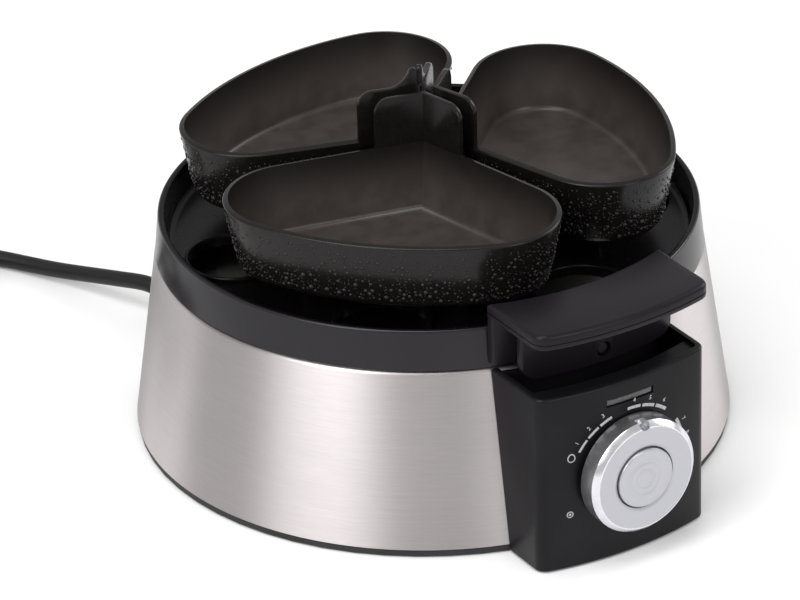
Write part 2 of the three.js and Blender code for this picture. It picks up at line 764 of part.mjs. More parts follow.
// ---- Knob -----------------------------------------------------------------------------------------
function makeKnob() {
  const skirtInner = knobRadius - knobRim;
  const well = buttonRadius + buttonGap;
  const profile = [
    [skirtInner, knobBack],
    [knobRadius, knobBack],
    [knobRadius, knobFront - knobBevel],
    [knobRadius - knobBevel, knobFront],
    [well, knobFront],
    [well, wellFloor],
    [shaftRadius + touching, wellFloor],
    [shaftRadius + touching, knobBack],
    [knobHubRadius, knobBack],
    [knobHubRadius, knobBack + knobHollow],
    [skirtInner, knobBack + knobHollow],
  ];
  const notch = block(
    -knobNotchWidth / 2, knobNotchWidth / 2, -knobFront - beyond, -knobBack - knobDepth / 2,
    knobHeight + knobRadius - knobNotchDepth, knobHeight + knobRadius + beyond,
  );
  const knob = solid(facingFront(turnedRing(profile, steps.middle))).subtract(solid(notch));
  piece("knob", "knob", knob, materials.silver);

  // The hollow shaft turns in the encoder's bushing and lets the button's stem through.
  const shaftBack = boardFront + touching + switchHeight + running;
  const shaft = turnedRing([
    [shaftBore, shaftBack],
    [shaftRadius, shaftBack],
    [shaftRadius, wellFloor - touching],
    [shaftBore, wellFloor - touching],
  ], steps.small);
  piece("knob", "knob_shaft", facingFront(shaft), materials.brass);

  const stemBack = boardFront + touching + switchHeight + buttonTravel + touching;
  const button = turned([
    [0, stemBack],
    [buttonStemRadius, stemBack],
    [buttonStemRadius, buttonBack],
    [buttonRadius, buttonBack],
    [buttonRadius, buttonFront - buttonEdge],
    [buttonRadius - buttonEdge, buttonFront],
    [0, buttonFront],
  ], steps.middle);
  piece("knob", "start_button", facingFront(button), materials.silver);

  const low = wellFloor + touching + springWire;
  const high = buttonBack - touching - springWire;
  const helix = [];
  const perTurn = 12;
  const points = springTurns * perTurn;
  for (let i = 0; i <= points; i += 1) {
    const [x, y] = polar(springRadius, (i * 360) / perTurn);
    helix.push(new THREE.Vector3(x, y, low + ((high - low) * i) / points));
  }
  const spring = tube(new THREE.CatmullRomCurve3(helix), springWire, points + perTurn, perTurn / 2);
  piece("knob", "button_spring", facingFront(spring), materials.zinc);
}

// ---- Tray -----------------------------------------------------------------------------------------
function makeTray() {
  const skirtBottom = bandBottom - traySkirtDepth;
  const floorRadius = bandTopRadius - trayWall - trayWallLean;
  let tray = solid(turned([
    [0, trayFloorBottom],
    [skirtRadius - traySkirtWall, trayFloorBottom],
    [skirtRadius - traySkirtWall, skirtBottom],
    [skirtRadius, skirtBottom],
    [skirtRadius, bandBottom],
    [bandBottomRadius, bandBottom],
    [bandRadius(bandTop - trayRimEdge), bandTop - trayRimEdge],
    [bandTopRadius - trayRimEdge, bandTop],
    [bandTopRadius - trayWall + trayRimEdge, bandTop],
    [bandTopRadius - trayWall, bandTop - trayRimEdge],
    [floorRadius, trayFloorTop + trayFillet],
    [floorRadius - trayFillet, trayFloorTop],
    [0, trayFloorTop],
  ]));
  for (let i = 0; i < eggHoleCount; i += 1) {
    const [x, y] = polar(eggHoleCircle, cupAngles.front + (i * 360) / eggHoleCount);
    const collarTop = trayFloorTop + eggHoleCollarHeight;
    const collarRadius = eggHoleRadius + eggHoleCollar;
    const collar = upright(collarRadius, trayFloorBottom + touching, collarTop, steps.hole);
    const hole = upright(eggHoleRadius, trayFloorBottom - beyond, collarTop + beyond, steps.hole);
    tray = tray.add(solid(collar.translate(x, y, 0))).subtract(solid(hole.translate(x, y, 0)));
  }
  for (let i = 0; i < ventCount; i += 1) {
    const [x, y] = polar(ventCircle, cupAngles.front + ((i + 0.5) * 360) / ventCount);
    const vent = upright(ventRadius, trayFloorBottom - beyond, trayFloorTop + beyond, steps.cord);
    tray = tray.subtract(solid(vent.translate(x, y, 0)));
  }
  // A boss inside the band takes the handle's screw.
  const bossBack = bandBottomRadius - trayWall - trayBossDepth;
  const boss = block(
    -trayBossHalf, trayBossHalf, -bandTopRadius + trayWall / 2, -bossBack,
    trayFloorTop - trayFloorThickness / 2, handleScrewHeight + trayBossCap,
  );
  const pilotStart = bossBack + trayBossSkin;
  const pilot = upright(screwShankRadius + touching, pilotStart, bandBottomRadius + beyond, steps.fine);
  tray = tray.add(solid(boss)).subtract(solid(facingFront(pilot, handleScrewHeight)));
  piece("tray", "steam_tray", tray, materials.glossBlack);
}

// A plan between two radii and two straight sides, its outer corners rounded.
function sector(inner, outer, halfWidth, corner) {
  const across = halfWidth - corner;
  const along = Math.sqrt((outer - corner) ** 2 - across ** 2);
  const lean = Math.atan2(across, along);
  const innerLean = Math.asin(halfWidth / inner);
  const front = 1.5 * Math.PI;
  return [
    ...arc(-across, -along, corner, Math.PI, front - lean, 4),
    ...arc(0, 0, outer, front - lean, front + lean, 10).slice(1, -1),
    ...arc(across, -along, corner, front + lean, 2 * Math.PI, 4),
    ...arc(0, 0, inner, front + innerLean, front - innerLean, 10),
  ];
}

function makeHandle() {
  const legInner = bandBottomRadius + touching;
  const legOuter = legInner + handleLeg;
  const apronInner = handleApronReach - handleApronWall;
  const apronBottom = handleBottom - handleApronDrop;
  const legBottom = apronBottom + handleLegRise;
  const inPlate = handleBottom + handleThickness / 2;
  const topPlan = sector(legInner, handleReach, handleHalfWidth, handleCorner);
  const legPlan = sector(legInner, legOuter, handleHalfWidth, handleSmallCorner);
  const top = solid(extruded(topPlan, handleBottom, handleTop));
  const leg = solid(extruded(legPlan, legBottom, inPlate));
  // The apron is a curved sheet with its two lower corners rounded.
  const sheetPlan = sector(apronInner, handleApronReach, handleApronHalfWidth, handleSmallCorner);
  const sheet = solid(extruded(sheetPlan, apronBottom, inPlate));
  const inner = handleApronHalfWidth - handleApronCorner;
  const cornerHeight = apronBottom + handleApronCorner;
  const face = [
    point(-handleApronHalfWidth, handleTop),
    ...arc(-inner, cornerHeight, handleApronCorner, Math.PI, 1.5 * Math.PI, 5),
    ...arc(inner, cornerHeight, handleApronCorner, 1.5 * Math.PI, 2 * Math.PI, 5),
    point(handleApronHalfWidth, handleTop),
  ];
  const apron = sheet.intersect(solid(extruded(face, 0, handleReach).rotateX(Math.PI / 2)));
  const access = handleScrewHeadRadius + touching;
  const bossFront = handleApronReach - handleBossSetback;
  const boss = upright(access + handleScrewWall, legInner + handleLeg / 2, bossFront);
  const headSeat = handleApronReach - handleScrewSeat;
  const headWay = upright(access, headSeat, handleReach);
  const bore = upright(screwShankRadius + touching, 0, handleReach, steps.fine);
  const band = turned([[0, 0], [legInner, 0], [legInner, handleTop + beyond], [0, handleTop + beyond]]);
  const handle = top.add(leg).add(apron)
    .add(solid(facingFront(boss, handleScrewHeight)))
    .subtract(solid(facingFront(headWay, handleScrewHeight)))
    .subtract(solid(facingFront(bore, handleScrewHeight)))
    .subtract(solid(band));
  piece("tray", "tray_handle", handle, materials.blackPlastic);

  const headFront = headSeat + touching + screwHeadHeight;
  const length = headFront - (bandBottomRadius - trayWall - handleScrewBite);
  const one = screw(length, handleScrewHeadRadius).rotateX(-Math.PI / 2);
  piece("tray", "handle_screw", one.translate(0, -headFront, handleScrewHeight), materials.zinc);
}

// ---- Poacher --------------------------------------------------------------------------------------
// A cup's outline about its own axis, +X, pulled in by inset: a pointed end at the middle of the
// poacher, two straight sides, two round corners and a wide outer arc.
function cupOutline(inset) {
  const half = cupHalfAngle * degrees;
  const side = [Math.cos(half), Math.sin(half)];
  const inward = [Math.sin(half), -Math.cos(half)];
  const middle = cupReach - cupOuterArc;
  // The corner's centre lies a corner's radius inside the side and inside the outer arc.
  const start = [cupApex + cupCorner * inward[0] - middle, cupCorner * inward[1]];
  const b = start[0] * side[0] + start[1] * side[1];
  const c = start[0] ** 2 + start[1] ** 2 - (cupOuterArc - cupCorner) ** 2;
  const along = -b + Math.sqrt(b * b - c);
  const centre = [middle + start[0] + along * side[0], start[1] + along * side[1]];
  const lean = Math.atan2(centre[1], centre[0] - middle);
  const radius = cupCorner - inset;
  return [
    point(cupApex + inset / Math.sin(half), 0),
    ...arc(centre[0], -centre[1], radius, -(half + Math.PI / 2), -lean, 9),
    ...arc(middle, 0, cupOuterArc - inset, -lean, lean, 9).slice(1, -1),
    ...arc(centre[0], centre[1], radius, lean, half + Math.PI / 2, 9),
  ];
}

// A block on that outline whose walls lean in from its top to its bottom.
function drafted(topInset, bottomInset, bottom, top) {
  const upper = cupOutline(topInset);
  const lower = cupOutline(bottomInset);
  const geometry = extruded(upper, bottom, top);
  const position = geometry.attributes.position;
  for (let i = 0; i < position.count; i += 1) {
    if (position.getZ(i) > (bottom + top) / 2) continue;
    const at = new THREE.Vector2(position.getX(i), position.getY(i));
    const nearest = upper.findIndex((corner) => corner.distanceTo(at) < 1e-3);
    position.setXY(i, lower[nearest].x, lower[nearest].y);
  }
  return solid(geometry);
}

// An upright plate on one of the cup's straight sides, seen from the side: its outer top corner is
// round, and the rear cup's plate rises to a horn beside the pointed edge.
function gripPlate(length, horned) {
  const bottom = cupTop - 2;
  const corner = arc(length - gripCorner, gripTop - gripCorner, gripCorner, 0, Math.PI / 2, 6);
  const outline = [point(0, bottom), point(length, bottom), ...corner];
  if (horned) {
    const tipMiddle = hornSlot + hornTip;
    const tipHeight = gripTop + hornHeight - hornTip;
    const rise = new THREE.QuadraticBezierCurve(
      point(hornFoot + 2, gripTop),
      point(hornFoot - 1.6, gripTop + 0.6),
      point(tipMiddle + hornTip, tipHeight),
    );
    outline.push(...rise.getPoints(5).slice(0, -1), ...arc(tipMiddle, tipHeight, hornTip, 0, Math.PI, 6));
    outline.push(point(hornSlot, gripTop));
  }
  outline.push(point(0, gripTop));
  return extruded(outline, 0, cupWall).rotateX(Math.PI / 2);
}

function makeCup(place) {
  const horned = place === "rear";
  let cup = drafted(0, cupDraft, cupBottom, cupTop)
    .subtract(drafted(cupWall, cupDraft + cupWall, cupBottom + cupFloor, cupTop + 0.01));
  const half = cupHalfAngle * degrees;
  for (const side of [-1, 1]) {
    // The plate is made along +X with its thickness towards -Y, then leant to the cup's side.
    const plate = gripPlate(gripLength[place], horned);
    if (side < 0) plate.translate(0, cupWall, 0);
    plate.rotateZ(side * half).translate(cupApex, 0, 0);
    cup = cup.add(solid(plate));
    const [x, y] = polar(cupLegCircle, side * cupLegAngle);
    const leg = upright(cupLegRadius, trayFloorTop + touching, cupBottom + 1, steps.fine).translate(x, y, 0);
    cup = cup.add(solid(leg));
  }
  const mesh = geometryOf(cup).rotateZ(cupAngles[place] * degrees);
  piece("poacher", `cup_${place}`, mesh, materials.cupBlack);
}

// The web between the cups, with a disc under them and a post down to the tray's floor.
function makeHub() {
  const discTop = cupBottom - touching;
  const discBottom = discTop - hubDiscThickness;
  let hub = solid(upright(hubDiscRadius, discBottom, discTop))
    .add(solid(upright(hubPostRadius, trayFloorTop + touching, discBottom + 1)));
  const bladeHalf = cupApex * Math.sin(cupHalfAngle * degrees) - touching;
  for (const angle of Object.values(cupAngles)) {
    const blade = block(0, hubBladeReach, -bladeHalf, bladeHalf, discTop - 1, cupTop - 1);
    hub = hub.add(solid(blade.rotateZ((angle + 60) * degrees)));
  }
  piece("poacher", "poacher_hub", hub, materials.cupBlack);
}

// ---- Mains cord -----------------------------------------------------------------------------------
// The strain relief, a ribbed and tapered sleeve of soft plastic; its flange sits inside the steel.
function makeRelief(root, tip) {
  const flange = root - reliefInside;
  const relief = [[0, flange], [reliefRootRadius, flange], [reliefRootRadius, root]];
  const pitch = reliefLength / reliefRibs;
  for (let i = 0; i < reliefRibs; i += 1) {
    const from = root + pitch * (i + reliefRibStart);
    const to = root + pitch * (i + reliefRibEnd);
    const share = (i + 0.5) / reliefRibs;
    const radius = reliefRootRadius + (reliefTipRadius - reliefRootRadius) * share;
    const neck = radius - reliefRibDepth;
    relief.push([radius, from], [radius, to], [neck, to + touching]);
    relief.push([neck, root + pitch * (i + 1) - touching]);
  }
  relief.push([reliefTipRadius - reliefTipEdge, tip], [0, tip]);
  const mesh = turned(relief, steps.fine).rotateY(Math.PI / 2).rotateZ(cordExitAngle * degrees);
  piece("cord", "strain_relief", mesh.translate(0, 0, cordExitHeight), materials.rubber);
}

// A clamp on the base plate grips the cord inside.
function makeClamp(root) {
  const far = root - reliefInside - touching;
  const clampTop = basePlateTop + clampHeight;
  const clamp = block(
    far - clampDepth, far, -clampWidth / 2, clampWidth / 2,
    basePlateTop + touching, clampTop,
  ).rotateZ(cordExitAngle * degrees);
  const ring = upright(sleeveInside(clampTop) - baseUpstandWall - clampBack, 0, sleeveTop);
  piece("base", "cord_clamp", solid(clamp).intersect(solid(ring)), materials.darkPlastic);
}

// The cord's middle line through those points, without the coil's ring.
function makeStretch(name, points, spans, keepOut) {
  const route = new THREE.CatmullRomCurve3(points.map((at) => new THREE.Vector3(...at)));
  piece("cord", name, solid(tube(route, cordRadius, spans)).subtract(keepOut), materials.rubber);
}

// A flat plug with two round pins; the cord enters its neck at start and it points to the front.
function makePlug(x, start, middle) {
  const half = plugWidth / 2;
  const shoulder = new THREE.QuadraticBezierCurve(
    point(plugNeckHalf, 0),
    point(plugNeckHalf, -plugNeckLength),
    point(half, -plugNeckLength),
  ).getPoints(5);
  const far = [point(half, -plugLength), point(-half, -plugLength)];
  const mirrored = shoulder.map((at) => point(-at.x, at.y)).reverse();
  let plug = solid(extruded([...shoulder, ...far, ...mirrored], plugLift, plugLift + plugThickness)
    .translate(x, start, 0));
  const pinRoot = (plugLength + plugNeckLength) / 2;
  for (const [side, name] of [[-1, "plug_pin_left"], [1, "plug_pin_right"]]) {
    const placed = (mesh) => mesh.rotateX(Math.PI / 2).translate(x + (side * pinSpacing) / 2, start, middle);
    const socket = upright(pinRadius + touching, pinRoot, plugLength + beyond, steps.fine);
    plug = plug.subtract(solid(placed(socket)));
    const pin = upright(pinRadius, pinRoot + touching, plugLength + pinLength, steps.fine);
    piece("cord", name, placed(pin), materials.brass);
  }
  piece("cord", "plug_body", plug, materials.rubber);
}

function makeCord() {
  const root = sleeveRadius(cordExitHeight);
  const tip = root + reliefLength;
  makeRelief(root, tip);
  makeClamp(root);

  // The cord drops to the table, bends left, and joins the coil along its outer turn.
  const exit = polar(tip + touching, cordExitAngle);
  const [cx, cy] = [exit[0] + coilFromExit[0], exit[1] + coilFromExit[1]];
  const low = coilLift;
  const high = coilLift + coilHeight;
  const coil = (gap) => turnedRing([
    [coilInner - gap, low - gap],
    [coilOuter + gap, low - gap],
    [coilOuter + gap, high + gap],
    [coilInner - gap, high + gap],
  ], coilSegments).translate(cx, cy, 0);
  const keepOut = solid(coil(touching));
  piece("cord", "cord_coil", coil(0), materials.rubber);
  const flat = cordRadius + cordLift;
  const [joinX, joinY] = polar(coilRadii[1], coilEntryAngle);
  makeStretch("cord_run", [
    [...exit, cordExitHeight],
    [...polar(tip + touching + cordStraight, cordExitAngle), cordExitHeight],
    ...cordOnTheWay.map(([x, y, z]) => [exit[0] + x, exit[1] + y, z]),
    [cx + joinX, cy + joinY, flat + coilLift],
  ], 28, keepOut);

  // A band round the coil holds it.
  const half = tieWidth / 2;
  const [around, over] = [touching + tieThickness, touching + tieSlack];
  const bandInner = coilInner - around - tieSlack;
  const bandOuter = coilOuter + around;
  const band = solid(block(bandInner, bandOuter, -half, half, low - around, high + around));
  const coilWay = block(
    coilInner - over, coilOuter + touching, -tieWidth, tieWidth,
    low - touching, high + touching,
  );
  const tie = band.subtract(solid(coilWay)).rotate([0, 0, tieAngle]).translate([cx, cy, 0]);
  piece("cord", "cord_tie", tie, materials.darkPlastic);

  // The free end leaves the coil towards the front and ends in a flat two-pin plug.
  const tailX = cx - coilRadii[1];
  const tailHeight = flat + coilLift + 2 * cordRadius;
  const plugMiddle = plugLift + plugThickness / 2;
  const plugStart = cy - plugFromCoil;
  const tail = tailShares.map(([along, down]) => [
    tailX, cy - along * (plugFromCoil - touching), tailHeight - down * (tailHeight - plugMiddle),
  ]);
  makeStretch("cord_tail", tail, 10, keepOut);
  makePlug(tailX, plugStart, plugMiddle);
}

makeBasePlate();
makeFeet();
makeBaseScrews();
makeSleeve();
makeDeck();
makeHeater();
makeControlBox();
makeControls();
makePowerBoard();
makeKnob();
makeTray();
makeHandle();
for (const place of Object.keys(cupAngles)) makeCup(place);
makeHub();
makeCord();

export default cooker;
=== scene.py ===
"""Builds the looks of an electric egg cooker round its CAD frame: a brushed steel body, a black tray with
a handle, a lift-out poacher of three cups, and a control box with a knob. Laid out as an add-on."""
import itertools
import json
import math
import random

import bmesh
import bpy
from mathutils import Matrix, Vector


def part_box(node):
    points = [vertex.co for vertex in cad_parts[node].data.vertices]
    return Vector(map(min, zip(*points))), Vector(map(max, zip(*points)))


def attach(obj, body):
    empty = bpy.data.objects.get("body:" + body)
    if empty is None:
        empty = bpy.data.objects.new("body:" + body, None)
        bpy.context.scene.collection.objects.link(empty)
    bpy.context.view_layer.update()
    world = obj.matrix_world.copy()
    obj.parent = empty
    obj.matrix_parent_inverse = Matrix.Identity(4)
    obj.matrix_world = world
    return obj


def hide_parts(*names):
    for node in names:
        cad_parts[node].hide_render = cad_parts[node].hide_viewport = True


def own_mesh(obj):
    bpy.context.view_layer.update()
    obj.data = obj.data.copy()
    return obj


bl_info = {
    "name": "Egg Cooker",
    "version": (1, 0, 0),
    "blender": (4, 5, 0),
    "location": "View3D > Sidebar > Egg Cooker",
    "description": "Finishes the pieces of an electric egg cooker round its CAD frame",
    "category": "Object",
}

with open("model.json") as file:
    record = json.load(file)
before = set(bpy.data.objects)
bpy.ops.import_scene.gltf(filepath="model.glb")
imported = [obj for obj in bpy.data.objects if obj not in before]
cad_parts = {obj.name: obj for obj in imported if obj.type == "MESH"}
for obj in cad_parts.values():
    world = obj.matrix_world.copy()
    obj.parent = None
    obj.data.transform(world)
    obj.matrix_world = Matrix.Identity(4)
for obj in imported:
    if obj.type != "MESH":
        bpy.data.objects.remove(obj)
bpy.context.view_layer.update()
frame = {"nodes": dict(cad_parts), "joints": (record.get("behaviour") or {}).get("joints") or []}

# ---- Places taken from the frame --------------------------------------------------------------------
MM = 0.001
ORIGIN = Vector()
FRONT = 1.5 * math.pi  # the direction of -Y, where the control box and the handle are
TOUCHING = 0.3 * MM  # the gap between pieces that rest against each other
SLEEVE_LOW, SLEEVE_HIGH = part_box("steel_sleeve")
TRAY_LOW, TRAY_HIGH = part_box("steam_tray")
HANDLE_LOW, HANDLE_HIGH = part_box("tray_handle")
BOX_LOW, BOX_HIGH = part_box("control_box")
KNOB_LOW, KNOB_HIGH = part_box("knob")
BUTTON_LOW, BUTTON_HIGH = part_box("start_button")
LENS_LOW, LENS_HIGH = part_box("indicator_lens")
PLUG_LOW, PLUG_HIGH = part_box("plug_body")
AXIS = Vector((0, (SLEEVE_LOW.y + SLEEVE_HIGH.y) / 2, 0))
SLEEVE_RADIUS = SLEEVE_HIGH.x
BOX_REACH = AXIS.y - BOX_LOW.y
BOX_HALF = BOX_HIGH.x
HANDLE_REACH = AXIS.y - HANDLE_LOW.y
KNOB_HEIGHT = (KNOB_LOW.z + KNOB_HIGH.z) / 2
KNOB_RADIUS = (KNOB_HIGH.x - KNOB_LOW.x) / 2

# ---- The camera and the lights ----------------------------------------------------------------------
CAMERA_FROM_AXIS = Vector((-0.74888, -1.18920, 0.79721))
CAMERA_FORWARD = Vector((0.46369, 0.74789, -0.47503))
CAMERA_RIGHT = Vector((0.84256, -0.53804, -0.02464))
CAMERA_LENS, CAMERA_SENSOR = 225, 36
LIGHTS = {  # place, width and power of each
    "key": ((-1.45, -0.42, 1.1), 1.1, 16),
    "fill": ((1.5, -0.1, 0.8), 0.9, 8),
    "front": ((0.3, -1.5, 1.0), 0.7, 6),
    "top": ((-0.5, -0.2, 1.8), 1.0, 13),
}
LIGHTS_AIM = 0.05  # height that the lights point at
SURROUNDINGS = 0.62  # strength of the even light from all round
FLOOR_RADIUS = 6

# ---- The cord's route, in millimetres from the point on the table under its exit --------------------
CORD_LIFT = 0.25 * MM  # above the table
CORD_ON_THE_WAY = (
    (-5.52, 13.17, 8.1), (-8.92, 21.67, 6.6), (-12.42, 30.17, 5.1), (-16.42, 39.17, 3.8),
    (-21.42, 49.17, 3.1), (-27.42, 59.17, 2.95), (-33.92, 68.17, 2.95), (-38.42, 74.67, 3),
)
COIL_FROM_EXIT = (-73.92, 70.17, 0)
COIL_ENTRY = math.radians(33)
COIL_TURNS = 3 + 147 / 360
POINTS_PER_TURN = 20
COIL_GOES_IN = (0.67, 1)  # turns from the coil's start
COIL_GOES_UP = (1.42, 1.66)
COIL_GOES_OUT = (2.3, 2.63)
TAIL_LENGTH = 29.7 * MM
TAIL_SHARES = ((0.25, 0.16), (0.5, 0.5), (0.75, 0.84), (1, 1))  # along the tail, and down
CURVE_OVER_CHORDS = 1.003  # how much longer the smooth curve is than straight lines through its points
RELIEF_RIBS = 5
PIN_TIP = 0.9 * MM  # how much of a plug pin is rounded

# ---- Places inside the body and on its front --------------------------------------------------------
BODY_FACETS = 256  # of the large round pieces that have to fit each other
CUP_PLACES = ("front", "right", "rear")
CUP_ABOVE_FLOOR = 10.2 * MM  # from the tray's floor to a cup's underside
WINDOW_MARGIN = 4 * MM  # of steel left round the opening behind the control box
WINDOW_TOP = 42 * MM
BOX_BACK = 61 * MM  # from the axis to the back of the control box's plan, which the body cuts away
BOX_LEDGE_DROP = 1.2 * MM  # from the control box's top edge to its ledge
SHAFT_HOLE = 4.2 * MM
APRON_CORNER = 5 * MM
SCREW_SHANK, SCREW_SEAT, SCREW_BOSS = 1.8 * MM, 2.6 * MM, 4 * MM  # radii
SCALE_GROUPS = ((150, 107), (93, 47), (30, -13))  # degrees from which to which, anticlockwise from the right
BARS_PER_GROUP = 3
BAR_LENGTH = 0.86  # of the pitch
BAR_FIRST_WIDTH, BAR_WIDENING = 0.55, 0.05  # shares of the scale's width
EGG_MARK, OFF_MARK = math.radians(157), math.radians(207)
MARK_LINE = 0.3 * MM

# ---- Finishes, with painted reflection and painted shade --------------------------------------------
PAINTED_REFLECTION_BANDS = 8  # painted reflection: soft upright light and dark bands round the body
# angle at which the painted reflection bands start
PAINTED_REFLECTION_START = math.radians(170)
CUP_PAINTED_SHADE_FROM, CUP_PAINTED_SHADE_FULL = 84, 101  # heights in millimetres between which painted shade darkens a cup's lining towards the rim

# ---- Droplets ---------------------------------------------------------------------------------------
DROP_FLATNESS = 0.62
DROP_SUNK = 0.3  # how far a drop of unit radius is cut off, on the wall
DROP_SEED = 20
DROPS_COVER = 0.88  # share of a cup's height that the drops cover, from its heel up
DROPS_HANG_LOW = 1.15  # the larger, the more drops hang low
DROPS_AT_RIM = 0.45  # share of the drops kept at the rim
DROPS_FEW_LARGE = 2.4  # the larger, the fewer drops are large
DROP_SIZE_AT_RIM = 0.35  # of the size at a cup's heel
DROP_APART = 1.05  # times the sum of two drops' radii


# ---- Sizes and colours that a user would change -----------------------------------------------------
def length(name, description, millimetres):
    return bpy.props.FloatProperty(
        name=name, description=description, default=millimetres * MM, unit="LENGTH", precision=5
    )


def angle(name, description, degrees):
    return bpy.props.FloatProperty(
        name=name, description=description, default=math.radians(degrees), unit="ROTATION"
    )


def colour(name, description, *rgb):
    return bpy.props.FloatVectorProperty(
        name=name, description=description, default=rgb, size=3, min=0, max=1, subtype="COLOR"
    )


class BodySizes(bpy.types.PropertyGroup):
    sleeve_top_radius: length("Steel top radius", "Radius of the steel at its top edge", 87.3)
    sleeve_wall: length("Steel thickness", "Thickness of the steel sheet", 0.8)
    sleeve_roll: length("Steel edge roll", "Radius that the steel's top edge is rolled to", 1.3)
    sleeve_lip: length("Steel lip", "How far the steel's rolled edge reaches in", 3.2)
    tray_wall: length("Tray wall", "Thickness of the tray's wall", 2.2)
    tray_inset: length("Tray inset", "How far the band stands in from the steel's edge", 0.3)
    tray_draft: length("Tray draft", "How much smaller the band is at its top", 1.3)
    tray_floor: length("Tray floor", "Height of the floor's top above the tray's lower edge", 7.7)
    floor_thickness: length("Floor thickness", "Thickness of the tray's floor", 1.8)
    skirt_radius: length("Skirt radius", "Outer radius of the skirt inside the steel's lip", 83.6)
    skirt_depth: length("Skirt depth", "Depth of the skirt below the band", 4.4)
    egg_hole_radius: length("Egg hole radius", "Radius of the six egg holes", 14)
    egg_hole_circle: length("Egg hole circle", "Radius of the circle that the egg holes lie on", 64)
    collar_wall: length("Collar wall", "Width of the raised collar round an egg hole", 1.6)
    collar_height: length("Collar height", "Height of the collar above the tray's floor", 1.8)
    vent_radius: length("Vent radius", "Radius of the steam vents under the poacher", 2)
    vent_circle: length("Vent circle", "Radius of the circle that the vents lie on", 22)
    handle_thickness: length("Handle thickness", "Thickness of the handle's top plate", 5)
    handle_corner: length("Handle corner", "Radius of the top plate's outer corners", 5)
    handle_edge: length("Handle edge", "Radius of the top plate's upper edge", 1.5)
    handle_leg: length("Handle leg", "Thickness of the upright against the tray", 2.6)
    apron_reach: length("Apron reach", "From the axis to the apron's outer face", 97.8)
    apron_wall: length("Apron wall", "Thickness of the apron", 2.3)
    apron_half: length("Apron half width", "Half the apron's width", 27.5)
    screw_height: length("Screw height", "Height of the handle's screw", 64.6)


class PoacherSizes(bpy.types.PropertyGroup):
    first_angle: angle("First cup", "Direction of the front cup, from +X", 224.2)
    apex: length("Apex", "From the middle to each cup's pointed end", 2.1)
    half_angle: angle("Half angle", "Half the angle between a cup's straight sides", 58)
    reach: length("Reach", "From the middle to each cup's far side", 76.8)
    outer_arc: length("Outer arc", "Radius of the far side", 102)
    corner: length("Corner", "Radius of the two round corners", 23)
    draft: length("Draft", "How far the walls lean in from rim to floor", 4.6)
    wall: length("Wall", "Thickness of the walls and the grips", 1.8)
    heel: length("Heel", "Radius where the wall meets the floor", 3)
    height: length("Height", "Height of a cup", 23)
    grip_height: length("Grip height", "Height of the grips above the rims", 16.8)
    grip_corner: length("Grip corner", "Radius of a grip's outer top corner", 5)
    front_grip: length("Grip length", "Length of the front and right cups' grips", 17)
    rear_grip: length("Rear grip length", "Length of the rear cup's grips", 20.5)
    horn_height: length("Horn height", "Height of the two horns above the grips", 6)
    horn_foot: length("Horn foot", "Where along the grip a horn starts to rise", 7.4)
    horn_tip: length("Horn tip", "Radius of a horn's tip", 1.5)
    horn_slot: length("Horn slot", "From the grip's pointed edge to the horn", 0.8)
    leg_radius: length("Leg radius", "Radius of a cup's legs", 3.4)
    leg_circle: length("Leg circle", "From the middle to the legs", 52)
    leg_angle: angle("Leg angle", "From a cup's middle to its legs", 30)
    drops: bpy.props.IntProperty(
        name="Droplets", description="Droplets of condensed steam on each cup", default=1700, min=0
    )
    drop_small: length("Smallest droplet", "Radius of the smallest droplets", 0.22)
    drop_large: length("Largest droplet", "Radius of the largest droplets", 1.0)


class ControlSizes(bpy.types.PropertyGroup):
    box_corner: length("Box corner", "Radius of the control box's upright corners", 4)
    box_edge: length("Box edge", "Radius of the control box's top edge", 0.9)
    box_wall: length("Box wall", "Thickness of the control box's wall", 2)
    pocket_floor: length("Pocket floor", "Height of the pocket's floor", 48)
    box_liner: length("Liner", "Thickness of the box's own wall against the steel", 1.4)
    ledge: length("Ledge", "Depth of the ledge behind the front face", 6)
    knob_bevel: length("Knob bevel", "Width of the knob's polished edge", 1.7)
    notch_width: length("Notch width", "Width of the pointer's notch", 3.4)
    notch_depth: length("Notch depth", "Depth of the pointer's notch", 2.4)
    scale_radius: length("Scale radius", "Radius of the scale's printed bars", 20.6)
    scale_width: length("Scale width", "Width of the scale's bars at the end of the range", 1.35)
    numeral_radius: length("Numeral radius", "Radius of the numerals' middles", 22.9)
    numeral_size: length("Numeral size", "Size of the numerals", 2.0)
    print_thickness: length("Print thickness", "Thickness of the printed marks", 0.06)


class CordSizes(bpy.types.PropertyGroup):
    radius: length("Radius", "Radius of the mains cord", 2.7)
    coil_radius: length("Coil radius", "Radius of the middle of the coil", 30)
    coil_lift: length("Coil lift", "Height of the coil's underside, on its tie", 1)
    exit_angle: angle("Exit direction", "Direction in which the cord leaves the body", 111.5)
    exit_height: length("Exit height", "Height of the cord where it leaves the body", 9.5)
    relief_length: length("Strain relief length", "Length of the strain relief outside the steel", 20)
    relief_root: length("Strain relief root", "Radius of the strain relief at the steel", 5.2)
    relief_tip: length("Strain relief tip", "Radius of the strain relief at its tip", 3.6)


class Colours(bpy.types.PropertyGroup):
    steel: colour("Steel", "Brushed steel", 0.66, 0.615, 0.62)
    satin_black: colour("Satin black", "Moulded control box", 0.0065, 0.006, 0.0072)
    handle_black: colour("Handle black", "Handle and the tray's band", 0.010, 0.0085, 0.0105)
    gloss_black: colour("Gloss black", "Tray", 0.0035, 0.003, 0.003)
    cup_black: colour("Cup black", "Poacher", 0.0065, 0.0052, 0.005)
    silver: colour("Silver", "Knob and button", 0.47, 0.47, 0.50)
    rubber: colour("Rubber", "Cord, feet and plug", 0.006, 0.006, 0.006)
    print: colour("Print", "Printed scale and numerals", 0.45, 0.45, 0.46)


GROUPS = {
    "egg_cooker_body": BodySizes,
    "egg_cooker_poacher": PoacherSizes,
    "egg_cooker_controls": ControlSizes,
    "egg_cooker_cord": CordSizes,
    "egg_cooker_colours": Colours,
}


